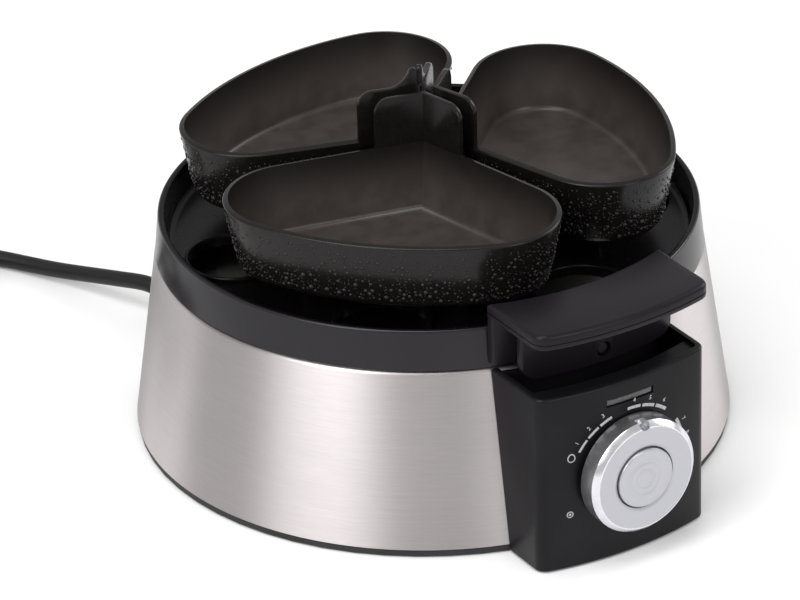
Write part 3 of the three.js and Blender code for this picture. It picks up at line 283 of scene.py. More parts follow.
# ---- Modelling --------------------------------------------------------------------------------------
def deselect():
    if bpy.context.object and bpy.context.object.mode != "OBJECT":
        bpy.ops.object.mode_set(mode="OBJECT")
    bpy.ops.object.select_all(action="DESELECT")


def activate(obj):
    deselect()
    obj.select_set(True)
    bpy.context.view_layer.objects.active = obj


def edit(obj):
    """Opens the piece in edit mode with nothing selected."""
    activate(obj)
    bpy.ops.object.mode_set(mode="EDIT")
    bpy.ops.mesh.select_all(action="DESELECT")


def close(obj):
    bpy.ops.object.mode_set(mode="OBJECT")
    return obj


def pick(obj, kind, test):
    """Selects the edges or faces that pass the test, by their places and normals."""
    bpy.ops.mesh.select_mode(type={"edges": "EDGE", "faces": "FACE"}[kind])
    bpy.ops.mesh.select_all(action="DESELECT")
    shape = bmesh.from_edit_mesh(obj.data)
    for element in getattr(shape, kind):
        if test(element):
            element.select_set(True)
    shape.select_flush_mode()
    bmesh.update_edit_mesh(obj.data)


def traced(name, points, filled=False):
    """A line of vertices through the points, each one extruded from the last."""
    deselect()
    bpy.ops.mesh.primitive_plane_add(size=MM)
    obj = bpy.context.object
    obj.name = obj.data.name = name
    bpy.ops.object.mode_set(mode="EDIT")
    bpy.ops.mesh.select_mode(type="VERT")
    bpy.ops.mesh.select_all(action="SELECT")
    bpy.ops.mesh.merge(type="CENTER")
    at = ORIGIN
    for i, point in enumerate(points):
        step = Vector(point) - at
        if i == 0:
            bpy.ops.transform.translate(value=step)
        else:
            bpy.ops.mesh.extrude_region_move(TRANSFORM_OT_translate={"value": step})
        at = Vector(point)
    if filled:
        bpy.ops.mesh.select_all(action="SELECT")
        bpy.ops.mesh.edge_face_add()
    return obj


def outward(obj):
    """Merges doubled points and turns every face outwards."""
    edit(obj)
    bpy.ops.mesh.select_all(action="SELECT")
    bpy.ops.mesh.remove_doubles(threshold=0.002 * MM)
    bpy.ops.mesh.normals_make_consistent(inside=False)
    return close(obj)


def lathed(name, profile, segments=192, middle=AXIS):
    """A profile of radius and height spun round an upright axis. It starts and ends on the axis, or
    closes on itself as a ring."""
    points = [(middle.x + radius, middle.y, middle.z + height) for radius, height in profile]
    if profile[0][0] > 0:
        points.append(points[0])
    obj = traced(name, points)
    bpy.ops.mesh.select_all(action="SELECT")
    bpy.ops.mesh.spin(
        steps=segments, angle=2 * math.pi, center=middle, axis=(0, 0, 1), use_auto_merge=True
    )
    close(obj)
    return outward(obj)


def slab(name, outline, bottom, top, middle=AXIS):
    """A closed outline in plan, extruded upwards."""
    obj = traced(name, [(middle.x + x, middle.y + y, bottom) for x, y in outline], filled=True)
    bpy.ops.mesh.extrude_region_move(TRANSFORM_OT_translate={"value": (0, 0, top - bottom)})
    close(obj)
    return outward(obj)


def cylinder(name, radius, bottom, top, middle=AXIS, segments=64):
    deselect()
    place = (middle.x, middle.y, (bottom + top) / 2)
    bpy.ops.mesh.primitive_cylinder_add(
        radius=radius, depth=top - bottom, location=place, vertices=segments
    )
    bpy.context.object.name = name
    bpy.ops.object.transform_apply()
    return bpy.context.object


def block(name, low, high):
    deselect()
    low, high = Vector(low), Vector(high)
    bpy.ops.mesh.primitive_cube_add(size=1, location=(low + high) / 2, scale=high - low)
    bpy.context.object.name = name
    bpy.ops.object.transform_apply()
    return bpy.context.object


def placed(obj, matrix):
    activate(obj)
    obj.matrix_world = matrix
    bpy.ops.object.transform_apply()
    return obj


def facing_front(obj, height=KNOB_HEIGHT):
    """Lays a piece made along +Z about the origin so that it points to -Y from the body's axis."""
    turn = Matrix.Rotation(math.pi / 2, 4, "X")
    return placed(obj, Matrix.Translation((0, AXIS.y, height)) @ turn)


def modified(obj, kind, **settings):
    activate(obj)
    bpy.ops.object.modifier_add(type=kind)
    modifier = obj.modifiers[-1]
    for name, value in settings.items():
        setattr(modifier, name, value)
    bpy.ops.object.modifier_apply(modifier=modifier.name)
    return obj


def combined(obj, operation, *tools):
    """Cuts, joins or intersects with each tool, which is then removed."""
    for tool in tools:
        modified(obj, "BOOLEAN", object=tool, operation=operation, solver="EXACT")
        activate(tool)
        bpy.ops.object.delete()
    return obj


def rounded(obj, radius, test, segments=3):
    """Bevels the edges that pass the test."""
    edit(obj)
    pick(obj, "edges", test)
    bpy.ops.mesh.bevel(offset=radius, segments=segments, affect="EDGES", clamp_overlap=True)
    return close(obj)


def softened(obj, radius, segments=2, limit=40):
    return modified(
        obj, "BEVEL", width=radius, segments=segments, limit_method="ANGLE",
        angle_limit=math.radians(limit),
    )


def smooth(obj, limit=32):
    activate(obj)
    bpy.ops.object.shade_smooth_by_angle(angle=math.radians(limit))
    return obj


def is_level(height):
    """True of an edge that lies at that height."""
    return lambda edge: all(abs(v.co.z - height) < 0.01 * MM for v in edge.verts)


def copy_of(node, name):
    """A piece on a CAD node's shape, with its doubled points merged."""
    obj = bpy.data.objects.new(name, frame["nodes"][node].data.copy())
    bpy.context.scene.collection.objects.link(obj)
    obj.data.materials.clear()
    edit(obj)
    bpy.ops.mesh.select_all(action="SELECT")
    bpy.ops.mesh.remove_doubles(threshold=0.002 * MM)
    bpy.ops.mesh.dissolve_limited(angle_limit=math.radians(0.5))
    return close(obj)


def arc(x, y, radius, start, end, count):
    """Points along an arc, both of its ends included."""
    turns = (start + (end - start) * i / count for i in range(count + 1))
    return [(x + radius * math.cos(turn), y + radius * math.sin(turn)) for turn in turns]


def eased(value, start, end):
    """0 up to start, 1 from end on and smooth between them."""
    share = min(max((value - start) / (end - start), 0), 1)
    return share * share * (3 - 2 * share)


def at_angle(radius, turn):
    return Vector((radius * math.cos(turn), radius * math.sin(turn), 0))


def joined(pieces):
    """Joins the pieces into the first of them."""
    deselect()
    for piece in pieces:
        piece.select_set(True)
    bpy.context.view_layer.objects.active = pieces[0]
    bpy.ops.object.join()
    return pieces[0]


def sector(inner, outer, half, corner, count=24):
    """A plan at the front of the body between two radii and two straight sides, with round corners."""
    across = half - corner
    along = math.sqrt((outer - corner) ** 2 - across ** 2)
    lean = math.atan2(across, along)
    tilt = math.asin(half / inner)
    return [
        *arc(-across, -along, corner, math.pi, FRONT - lean, 6),
        *arc(0, 0, outer, FRONT - lean, FRONT + lean, count)[1:-1],
        *arc(across, -along, corner, FRONT + lean, 2 * math.pi, 6),
        *arc(0, 0, inner, FRONT + tilt, FRONT - tilt, count),
    ]


def box_plan(sizes, inset, reach=None):
    """The control box's plan, pulled in by inset: straight sides and a front round the body's axis."""
    corner = max(sizes.box_corner - inset, 0.6 * MM)
    reach = reach or BOX_REACH - inset
    half = BOX_HALF - inset
    across = half - corner
    along = math.sqrt((reach - corner) ** 2 - across ** 2)
    lean = math.atan2(across, along)
    return [
        (-half, -BOX_BACK),
        *arc(-across, -along, corner, math.pi, FRONT - lean, 8),
        *arc(0, 0, reach, FRONT - lean, FRONT + lean, 32)[1:-1],
        *arc(across, -along, corner, FRONT + lean, 2 * math.pi, 8),
        (half, -BOX_BACK),
    ]


def finished(obj, body, slot, *nodes, look=None):
    """Gives a piece its material and body, and hides the CAD nodes that it stands for. The slot is not used.
    """
    if look:
        obj.data.materials.clear()
        obj.data.materials.append(look)
    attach(obj, body)
    if nodes:
        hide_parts(*nodes)
    return obj


def second_look(obj, look, test):
    """Gives another material to the faces that pass the test."""
    obj.data.materials.append(look)
    obj.active_material_index = len(obj.data.materials) - 1
    edit(obj)
    pick(obj, "faces", test)
    bpy.ops.object.material_slot_assign()
    return close(obj)


# ---- Shaders ----------------------------------------------------------------------------------------
class Wire:
    """A shader socket: an expression on it adds Math nodes."""

    def __init__(self, look, socket):
        self.look, self.socket = look, socket

    def math(self, operation, *values):
        return self.look.node("ShaderNodeMath", values, operation=operation)

    def __add__(self, other):
        return self.math("ADD", self, other)

    def __sub__(self, other):
        return self.math("SUBTRACT", self, other)

    def __rsub__(self, other):
        return self.math("SUBTRACT", other, self)

    def __mul__(self, other):
        return self.math("MULTIPLY", self, other)

    __radd__, __rmul__ = __add__, __mul__

    def above(self, low, high):
        """0 below low, 1 above high and smooth between them."""
        inputs = {"Value": self, "From Min": low, "From Max": high}
        return self.look.node("ShaderNodeMapRange", inputs, interpolation_type="SMOOTHSTEP")


class Look:
    """A material under construction."""

    def __init__(self, name, **fixed):
        self.material = bpy.data.materials.new(name)
        self.material.use_nodes = True
        self.tree = self.material.node_tree
        self.surface = self.tree.nodes["Principled BSDF"]
        for socket, value in fixed.items():
            self.surface.inputs[socket.replace("_", " ")].default_value = value

    def node(self, kind, inputs=(), output=0, **settings):
        made = self.tree.nodes.new(kind)
        for name, value in settings.items():
            setattr(made, name, value)
        pairs = inputs.items() if isinstance(inputs, dict) else enumerate(inputs)
        for key, value in pairs:
            if isinstance(value, Wire):
                self.tree.links.new(value.socket, made.inputs[key])
            else:
                made.inputs[key].default_value = value
        return Wire(self, made.outputs[output])

    def place(self, stretch=(1, 1, 1), middle=AXIS):
        """The point on the object in millimetres from the body's axis, stretched along X, Y and Z."""
        at = self.node("ShaderNodeTexCoord", output=3)
        moved = self.node("ShaderNodeVectorMath", [at, tuple(middle)], operation="SUBTRACT")
        scale = tuple(s / MM for s in stretch)
        return self.node("ShaderNodeVectorMath", [moved, scale], operation="MULTIPLY")

    def noise(self, place, scale, detail=2, roughness=0.5):
        inputs = {"Vector": place, "Scale": scale, "Detail": detail, "Roughness": roughness}
        return self.node("ShaderNodeTexNoise", inputs)

    def mix(self, factor, first, second):
        """A colour between two colours."""
        ends = [c if isinstance(c, Wire) else (*c[:3], 1) for c in (first, second)]
        return self.node("ShaderNodeMix", {0: factor, 6: ends[0], 7: ends[1]}, 2, data_type="RGBA")

    def bump(self, height, strength, distance):
        inputs = {"Height": height, "Strength": strength, "Distance": distance * MM}
        return self.node("ShaderNodeBump", inputs)

    def feed(self, **inputs):
        for socket, wire in inputs.items():
            self.tree.links.new(wire.socket, self.surface.inputs[socket.replace("_", " ")])
        return self.material


def shade(rgb, factor):
    return tuple(min(1, channel * factor) for channel in rgb)


def brushed_steel(rgb):
    """Steel brushed round the body, with painted reflection bands: its colour goes darker and lighter from
    sector to sector round the axis, in soft upright bands."""
    look = Look("brushed_steel", Metallic=1, Anisotropic=0.7, Anisotropic_Rotation=0.25)
    strokes = look.noise(look.place((0.05, 0.05, 4.5)), 1, 3, 0.6)
    fine = look.noise(look.place((0.2, 0.2, 9)), 1, 2)
    cloud = look.noise(look.place((0.012, 0.012, 0.05)), 1, 2)
    grain = strokes * 0.5 + fine * 0.5
    sideways = look.node("ShaderNodeSeparateXYZ", [look.place()])
    backwards = look.node("ShaderNodeSeparateXYZ", [look.place()], 1)
    turn = sideways.math("ARCTAN2", backwards, sideways)
    # Painted reflection: the steel's colour goes darker and lighter in bands round the axis.
    painted_band_mask = turn.math("SINE", turn * PAINTED_REFLECTION_BANDS + PAINTED_REFLECTION_START) * 0.5 + 0.5
    painted_band_tone = look.mix(painted_band_mask.above(0, 1), shade(rgb, 0.60), shade(rgb, 1.0))
    streaks = look.mix(grain.above(0.25, 0.75), (0.86, 0.86, 0.86), (1, 1, 1))
    inputs = {0: 1, 6: painted_band_tone, 7: streaks}
    tone = look.node("ShaderNodeMix", inputs, 2, data_type="RGBA", blend_type="MULTIPLY")
    roughness = 0.34 + grain * 0.12 + cloud * 0.06
    return look.feed(Base_Color=tone, Roughness=roughness, Normal=look.bump(grain, 0.12, 0.02))


def moulded(name, rgb, roughness, grain=0.25, texture=1.6, specular=0.15):
    """Moulded plastic: a fine eroded texture, with flow marks and rubbed patches in its gloss."""
    look = Look(name, IOR=1.49, Specular_IOR_Level=specular)
    pits = look.noise(look.place(), texture, 3, 0.65)
    rubbed = look.noise(look.place(), 0.035, 3, 0.55)
    tone = look.mix(rubbed.above(0.3, 0.75), shade(rgb, 0.85), shade(rgb, 1.25))
    gloss = roughness - 0.04 + pits * 0.05 + rubbed.above(0.45, 0.8) * 0.05
    return look.feed(Base_Color=tone, Roughness=gloss, Normal=look.bump(pits, grain, 0.05))


def polished(name, rgb, roughness, waviness=0.08, specular=0.3):
    """Gloss moulded plastic: almost smooth, with slight waves, wipe marks and a few dull spots."""
    look = Look(name, IOR=1.5, Specular_IOR_Level=specular)
    waves = look.noise(look.place(), 0.06, 2)
    wiped = look.noise(look.place((1, 0.25, 0.6)), 0.5, 4, 0.6)
    spots = look.noise(look.place(), 0.9, 1).above(0.66, 0.72)
    tone = look.mix(wiped.above(0.35, 0.75), shade(rgb, 0.9), shade(rgb, 1.25))
    gloss = roughness + wiped * 0.05 + spots * 0.10
    return look.feed(Base_Color=tone, Roughness=gloss, Normal=look.bump(waves, waviness, 0.6))


def turned_silver(rgb):
    """Satin silver lacquer over fine concentric turning marks round the knob's axis."""
    look = Look("turned_silver", Metallic=0.75)
    place = look.place((1, 0, 1), Vector((0, AXIS.y, KNOB_HEIGHT)))
    away = look.node("ShaderNodeVectorMath", [place], output=1, operation="LENGTH")
    inputs = {"W": away, "Scale": 5, "Detail": 3}
    rings = look.node("ShaderNodeTexNoise", inputs, noise_dimensions="1D")
    cloud = look.noise(look.place(), 0.12, 2)
    tone = look.mix(rings.above(0.3, 0.7), shade(rgb, 0.95), shade(rgb, 1.05))
    gloss = 0.27 + rings * 0.05 + cloud * 0.04
    return look.feed(Base_Color=tone, Roughness=gloss, Normal=look.bump(rings, 0.06, 0.03))


def bare_metal(name, rgb, roughness, metallic=1.0, mottle=0.4):
    """Plated or rolled metal with a mottled gloss."""
    look = Look(name, Metallic=metallic)
    grain = look.noise(look.place(), mottle, 4, 0.6)
    tone = look.mix(grain.above(0.3, 0.75), shade(rgb, 0.88), shade(rgb, 1.06))
    gloss = roughness + grain * 0.08
    return look.feed(Base_Color=tone, Roughness=gloss, Normal=look.bump(grain, 0.08, 0.05))


def soft_plastic(name, rgb, roughness=0.5):
    """Rubber or cord jacket: a soft sheen with fine pores and a dusty bloom."""
    look = Look(name, Specular_IOR_Level=0.28, Sheen_Weight=0.03, Sheen_Roughness=0.4)
    pores = look.noise(look.place(), 2.5, 2, 0.7)
    bloom = look.noise(look.place(), 0.05, 3)
    tone = look.mix(bloom.above(0.4, 0.8), rgb, shade(rgb, 1.7))
    gloss = roughness + bloom * 0.12 - 0.06
    return look.feed(Base_Color=tone, Roughness=gloss, Normal=look.bump(pores, 0.12, 0.04))


def cup_lining(rgb):
    """The inside of a cup: smooth, with painted shade that turns it near-black under the rim, and its own
    grey with rubbed patches lower down.
    """
    look = Look("cup_inside", IOR=1.49, Specular_IOR_Level=0.3)
    place = look.place()
    height = look.node("ShaderNodeSeparateXYZ", [place], 2)
    rub = look.noise(place, 0.12, 3, 0.55)
    pits = look.noise(place, 1.4, 3, 0.6)
    # Painted shade: the lining darkens to near-black towards the rim.
    painted_rim_shade = (height + rub * 6).above(CUP_PAINTED_SHADE_FROM, CUP_PAINTED_SHADE_FULL)
    worn = look.mix(rub.above(0.3, 0.7), shade(rgb, 0.8), shade(rgb, 1.15))
    tone = look.mix(painted_rim_shade, worn, shade(rgb, 0.16))
    return look.feed(Base_Color=tone, Roughness=0.30 + pits * 0.06, Normal=look.bump(pits, 0.08, 0.05))


def circuit_board():
    """Green board with copper tracks under its lacquer."""
    look = Look("circuit_board", Coat_Weight=0.4, Coat_Roughness=0.2)
    place = look.place()
    tracks = look.node("ShaderNodeTexBrick", {
        "Vector": place, "Scale": 0.25, "Color1": (0, 0, 0, 1), "Color2": (0, 0, 0, 1),
        "Mortar": (1, 1, 1, 1), "Mortar Size": 0.03,
    })
    tone = look.mix(tracks, (0.012, 0.11, 0.035), (0.03, 0.19, 0.06))
    return look.feed(Base_Color=tone, Roughness=0.32 + look.noise(place, 0.8) * 0.12)


def smoked_lens():
    """Dark glossy plastic, slightly frosted."""
    look = Look("smoked_lens", Coat_Weight=0.5, Coat_Roughness=0.05)
    frost = look.noise(look.place(), 1.2, 2)
    tone = look.mix(frost.above(0.3, 0.7), (0.030, 0.028, 0.029), (0.06, 0.055, 0.056))
    return look.feed(Base_Color=tone, Roughness=0.28 + frost * 0.1)


def printed(name, rgb):
    """Printed or painted ink, slightly uneven."""
    look = Look(name)
    ink = look.noise(look.place(), 1.4, 3)
    tone = look.mix(ink.above(0.3, 0.7), shade(rgb, 0.85), shade(rgb, 1.12))
    return look.feed(Base_Color=tone, Roughness=0.4 + ink * 0.15)


def condensed_water():
    """Wet drops, as dark as the cup that they hang on."""
    look = Look("condensed_water", IOR=1.33, Specular_IOR_Level=0.6)
    film = look.noise(look.place(), 0.3, 2)
    tone = look.mix(film, (0.010, 0.009, 0.009), (0.022, 0.020, 0.020))
    return look.feed(Base_Color=tone, Roughness=0.03 + film * 0.04)


class Looks(dict):
    """The materials, made once the first time that one is asked for."""

    def __missing__(self, name):
        self.update(make_looks(bpy.context.scene.egg_cooker_colours))
        return self[name]


LOOKS = Looks()


def make_looks(colours):
    """Every material by its short name."""
    return dict(
        steel=brushed_steel(colours.steel),
        box=moulded("box_black", colours.satin_black, 0.36, 0.22),
        handle=moulded("handle_black", colours.handle_black, 0.34, 0.18),
        inner_plastic=moulded("inner_plastic", (0.03, 0.03, 0.032), 0.5, 0.3),
        tray=polished("tray_gloss", colours.gloss_black, 0.2, specular=0.1),
        band=moulded("band_black", colours.handle_black, 0.24, 0.10, specular=0.3),
        cup=polished("cup_gloss", colours.cup_black, 0.22, specular=0.25),
        cup_inside=cup_lining((0.045, 0.037, 0.034)),
        silver=turned_silver(colours.silver),
        chrome=bare_metal("chrome", (0.74, 0.74, 0.77), 0.17, mottle=0.2),
        knob_side=bare_metal("knob_side", (0.50, 0.50, 0.53), 0.26, 0.95),
        rubber=soft_plastic("rubber", colours.rubber, 0.7),
        cord=soft_plastic("cord_jacket", colours.rubber, 0.42),
        dish=bare_metal("dish_steel", (0.55, 0.54, 0.52), 0.30, mottle=0.1),
        sheath=bare_metal("element_sheath", (0.30, 0.28, 0.26), 0.42, mottle=0.3),
        zinc=bare_metal("zinc_plate", (0.55, 0.56, 0.58), 0.34),
        dark_steel=bare_metal("blackened_steel", (0.05, 0.05, 0.052), 0.45),
        ceramic=moulded("ceramic_white", (0.70, 0.68, 0.62), 0.6, 0.1),
        brass=bare_metal("plug_brass", (0.72, 0.60, 0.38), 0.20, mottle=0.6),
        board=circuit_board(),
        lens=smoked_lens(),
        print=printed("scale_print", colours.print),
        pointer=printed("pointer_paint", (0.8, 0.8, 0.8)),
        water=condensed_water(),
    )


# ---- Operators --------------------------------------------------------------------------------------
class EGGCOOKER_OT_stage(bpy.types.Operator):
    """Make the camera, the pale floor and the soft studio lights"""

    bl_idname = "egg_cooker.stage"
    bl_label = "Stage"

    def execute(self, context):
        scene = context.scene
        self.make_camera(scene)
        self.make_floor()
        self.make_lights(scene)
        return {"FINISHED"}

    def make_camera(self, scene):
        forward = CAMERA_FORWARD.normalized()
        up = CAMERA_RIGHT.cross(forward).normalized()
        right = forward.cross(up)
        data = bpy.data.cameras.new("camera")
        data.lens, data.sensor_width = CAMERA_LENS, CAMERA_SENSOR
        data.clip_start, data.clip_end = 0.05, 50
        camera = bpy.data.objects.new("camera", data)
        scene.collection.objects.link(camera)
        basis = Matrix((right, up, -forward)).transposed().to_4x4()
        camera.matrix_world = Matrix.Translation(AXIS + CAMERA_FROM_AXIS) @ basis
        scene.camera = camera

    def make_floor(self):
        deselect()
        bpy.ops.mesh.primitive_circle_add(vertices=128, radius=FLOOR_RADIUS, fill_type="NGON")
        floor = bpy.context.object
        floor.name = "floor"
        look = Look("floor", Roughness=0.7)
        cloud = look.noise(look.place(), 0.004, 3)
        tone = look.mix(cloud, (0.86, 0.86, 0.86), (0.9, 0.9, 0.9))
        floor.data.materials.append(look.feed(Base_Color=tone))

    def make_lights(self, scene):
        world = bpy.data.worlds.new("studio")
        world.use_nodes = True
        background = world.node_tree.nodes["Background"].inputs
        background["Color"].default_value = (1, 1, 1, 1)
        background["Strength"].default_value = SURROUNDINGS
        scene.world = world
        scene.view_settings.view_transform = "Standard"
        target = AXIS + Vector((0, 0, LIGHTS_AIM))
        for name, (place, size, power) in LIGHTS.items():
            data = bpy.data.lights.new(name, "AREA")
            data.shape, data.size, data.energy = "DISK", size, power
            light = bpy.data.objects.new(name, data)
            scene.collection.objects.link(light)
            light.location = place
            light.rotation_euler = (target - light.location).to_track_quat("-Z", "Y").to_euler()


class EGGCOOKER_OT_cord(bpy.types.Operator):
    """Lay the mains cord with its coil, strain relief, tie and plug"""

    bl_idname = "egg_cooker.cord"
    bl_label = "Mains cord"

    def execute(self, context):
        sizes = context.scene.egg_cooker_cord
        cord = self.make_cord(sizes)
        relief = self.make_relief(sizes)
        plug = self.make_plug()
        finished(relief, "base", "rubber", "strain_relief", look=LOOKS["rubber"])
        tie = softened(copy_of("cord_tie", "coil_tie"), 0.12 * MM)
        finished(smooth(tie), "base", "dark_plastic", "cord_tie", look=LOOKS["inner_plastic"])
        pins = [self.make_pin(f"plug_pin_{side}", f"{side}_pin") for side in ("left", "right")]
        self.route(sizes)[0]
        self.measured(sizes)
        return {"FINISHED"}

    def route(self, sizes):
        """The cord's centreline: the free run, the turns of the coil and the tail to the plug."""
        out = Vector((math.cos(sizes.exit_angle), math.sin(sizes.exit_angle), 0))
        mouth = self.root_radius(sizes) + sizes.relief_length + TOUCHING
        flat = sizes.radius + CORD_LIFT
        exit_foot = AXIS + out * mouth
        run = [exit_foot + out * ahead + Vector((0, 0, sizes.exit_height)) for ahead in (0, 4 * MM)]
        run += [exit_foot + Vector(point) * MM for point in CORD_ON_THE_WAY]
        middle = exit_foot + Vector(COIL_FROM_EXIT) * MM
        inner, outer = sizes.coil_radius - sizes.radius, sizes.coil_radius + sizes.radius
        low = sizes.coil_lift + flat
        high = low + 2 * sizes.radius
        # One turn outside and below, then inside and below, inside and above, and outside and above.
        coil = []
        for i in range(round(COIL_TURNS * POINTS_PER_TURN) + 1):
            turns = i / POINTS_PER_TURN
            inside = eased(turns, *COIL_GOES_IN) - eased(turns, *COIL_GOES_OUT)
            radius = outer + (inner - outer) * inside
            height = low + (high - low) * eased(turns, *COIL_GOES_UP)
            at = at_angle(radius, COIL_ENTRY + 2 * math.pi * turns)
            coil.append(middle + at + Vector((0, 0, height)))
        plug_height = (PLUG_LOW.z + PLUG_HIGH.z) / 2
        tail = [
            middle + Vector((-outer, -along * TAIL_LENGTH, high - down * (high - plug_height)))
            for along, down in TAIL_SHARES
        ]
        return run + coil + tail

    def root_radius(self, sizes):
        """The steel's radius at the height where the cord leaves it."""
        rise = (sizes.exit_height - SLEEVE_LOW.z) / (SLEEVE_HIGH.z - SLEEVE_LOW.z)
        top = bpy.context.scene.egg_cooker_body.sleeve_top_radius
        return SLEEVE_RADIUS + (top - SLEEVE_RADIUS) * rise

    def measured(self, sizes):
        """The cord's length along its route."""
        points = self.route(sizes)
        return sum((b - a).length for a, b in zip(points, points[1:])) * CURVE_OVER_CHORDS

    def make_cord(self, sizes):
        data = bpy.data.curves.new("mains_cord", "CURVE")
        data.dimensions = "3D"
        data.bevel_depth, data.bevel_resolution, data.resolution_u = sizes.radius, 5, 4
        data.use_fill_caps = True
        spline = data.splines.new("BEZIER")
        points = self.route(sizes)
        spline.bezier_points.add(len(points) - 1)
        for knot, point in zip(spline.bezier_points, points):
            knot.co = point
            knot.handle_left_type = knot.handle_right_type = "AUTO"
        data.materials.append(LOOKS["cord"])
        obj = bpy.data.objects.new("mains_cord", data)
        bpy.context.scene.collection.objects.link(obj)
        return finished(obj, "base", "cord_rubber", "cord_run", "cord_coil", "cord_tail")

    def make_relief(self, sizes):
        """A tapering sleeve of ribs round the cord where it leaves the steel."""
        root = self.root_radius(sizes)
        ribs, pitch = RELIEF_RIBS, sizes.relief_length / RELIEF_RIBS
        profile = [(0, root - 5 * MM), (sizes.relief_root, root - 5 * MM), (sizes.relief_root, root)]
        for i in range(ribs):
            radius = sizes.relief_root + (sizes.relief_tip - sizes.relief_root) * (i + 0.5) / ribs
            low, high = root + pitch * (i + 0.12), root + pitch * (i + 0.66)
            profile += [(radius - 0.25 * MM, low), (radius, low + 0.25 * MM), (radius, high - 0.25 * MM)]
            profile += [(radius - 0.25 * MM, high), (radius - 0.8 * MM, high + 0.3 * MM)]
            profile += [(radius - 0.8 * MM, root + pitch * (i + 1) + 0.1 * MM)]
        tip = root + sizes.relief_length
        profile += [(sizes.relief_tip - 0.7 * MM, tip), (0, tip)]
        relief = lathed("cord_strain_relief", profile, 48, ORIGIN)
        turn = Matrix.Rotation(sizes.exit_angle, 4, "Z") @ Matrix.Rotation(math.pi / 2, 4, "Y")
        placed(relief, Matrix.Translation(AXIS + Vector((0, 0, sizes.exit_height))) @ turn)
        return smooth(relief, 40)

    def make_plug(self):
        plug = softened(copy_of("plug_body", "cord_plug"), 1.8 * MM, 4, 60)
        return finished(smooth(plug, 50), "base", "rubber", "plug_body", look=LOOKS["rubber"])

    def make_pin(self, node, name):
        low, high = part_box(node)
        radius = (high.x - low.x) / 2
        reach = high.y - low.y
        profile = [
            (0, 0), (radius, 0), (radius, reach - PIN_TIP), (radius - 0.4 * MM, reach - 0.3 * MM),
            (radius - PIN_TIP, reach), (0, reach),
        ]
        pin = lathed(name, profile, 40, ORIGIN)
        middle = Vector(((low.x + high.x) / 2, high.y, (low.z + high.z) / 2))
        placed(pin, Matrix.Translation(middle) @ Matrix.Rotation(math.pi / 2, 4, "X"))
        return finished(smooth(pin, 50), "base", "plug_brass", node, look=LOOKS["brass"])


class EGGCOOKER_OT_sleeve(bpy.types.Operator):
    """Spin the brushed steel sleeve with its rolled top edge"""

    bl_idname = "egg_cooker.sleeve"
    bl_label = "Steel sleeve"

    def execute(self, context):
        scene = context.scene
        sizes = scene.egg_cooker_body
        top_radius, wall, roll = sizes.sleeve_top_radius, sizes.sleeve_wall, sizes.sleeve_roll
        bottom, top = SLEEVE_LOW.z, SLEEVE_HIGH.z
        slope = (top_radius - SLEEVE_RADIUS) / (top - bottom)
        edge = arc(top_radius - roll, top - roll, roll, 0.19, math.pi / 2, 6)
        inner_edge = arc(top_radius - roll, top - roll, roll - wall * 0.8, math.pi / 2, 0.19, 4)
        lip = top_radius - sizes.sleeve_lip
        profile = [
            (SLEEVE_RADIUS - wall, bottom), (SLEEVE_RADIUS - 0.2 * MM, bottom),
            (SLEEVE_RADIUS, bottom + 0.2 * MM), *edge, (lip + 0.3 * MM, top), (lip, top - 0.3 * MM),
            (lip, top - wall + 0.2 * MM), (lip + 0.2 * MM, top - wall), *inner_edge,
            (top_radius - wall - slope * 4 * MM, top - 4 * MM),
        ]
        sleeve = lathed("sleeve", profile, BODY_FACETS)
        half, margin = BOX_HALF - WINDOW_MARGIN, WINDOW_MARGIN
        window = block(
            "window", (-half, AXIS.y - SLEEVE_RADIUS - margin, bottom + margin),
            (half, AXIS.y - top_radius * 0.7, WINDOW_TOP),
        )
        cord = scene.egg_cooker_cord
        hole = cylinder("hole", cord.relief_root + TOUCHING, 0, 2 * SLEEVE_RADIUS, ORIGIN)
        turn = Matrix.Rotation(cord.exit_angle, 4, "Z") @ Matrix.Rotation(math.pi / 2, 4, "Y")
        placed(hole, Matrix.Translation(AXIS + Vector((0, 0, cord.exit_height))) @ turn)
        combined(sleeve, "DIFFERENCE", window, hole)
        finished(smooth(sleeve, 30), "base", "brushed_sleeve", "steel_sleeve", look=LOOKS["steel"])
        return {"FINISHED"}


class EGGCOOKER_OT_base(bpy.types.Operator):
    """Finish the base plate and its feet"""

    bl_idname = "egg_cooker.base"
    bl_label = "Base and feet"

    def execute(self, context):
        plate = smooth(copy_of("base_plate", "base_pan"), 30)
        finished(plate, "base", "dark_plastic", "base_plate", look=LOOKS["inner_plastic"])
        feet = [name for name in sorted(frame["nodes"]) if name.startswith("foot_")]
        for node in feet:
            low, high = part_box(node)
            radius, height = (high.x - low.x) / 2, high.z
            profile = [
                (0, 0.5 * MM), (radius - 3.4 * MM, 0.5 * MM), (radius - 2.8 * MM, 0), (radius - 1.2 * MM, 0),
                (radius - 0.35 * MM, 0.2 * MM), (radius, 0.8 * MM), (radius, height), (0, height),
            ]
            middle = Vector(((low.x + high.x) / 2, (low.y + high.y) / 2, 0))
            foot = lathed(node.replace("foot", "rubber_foot"), profile, 64, middle)
            finished(smooth(foot, 50), "base", "rubber", node, look=LOOKS["rubber"])
        return {"FINISHED"}


class EGGCOOKER_OT_heater(bpy.types.Operator):
    """Finish the water dish, the deck and the parts of the heater"""

    bl_idname = "egg_cooker.heater"
    bl_label = "Heater"

    def execute(self, context):
        pieces = {
            "water_dish": ("dish", "dish_steel", "dish"),
            "upper_deck": ("deck", "dark_plastic", "inner_plastic"),
            "heating_element": ("element", "element_sheath", "sheath"),
            "thermostat": ("thermostat_body", "ceramic", "ceramic"),
        }
        for node, (name, slot, look) in pieces.items():
            obj = smooth(copy_of(node, name), 35)
            finished(obj, "base", slot, node, look=LOOKS[look])
        return {"FINISHED"}


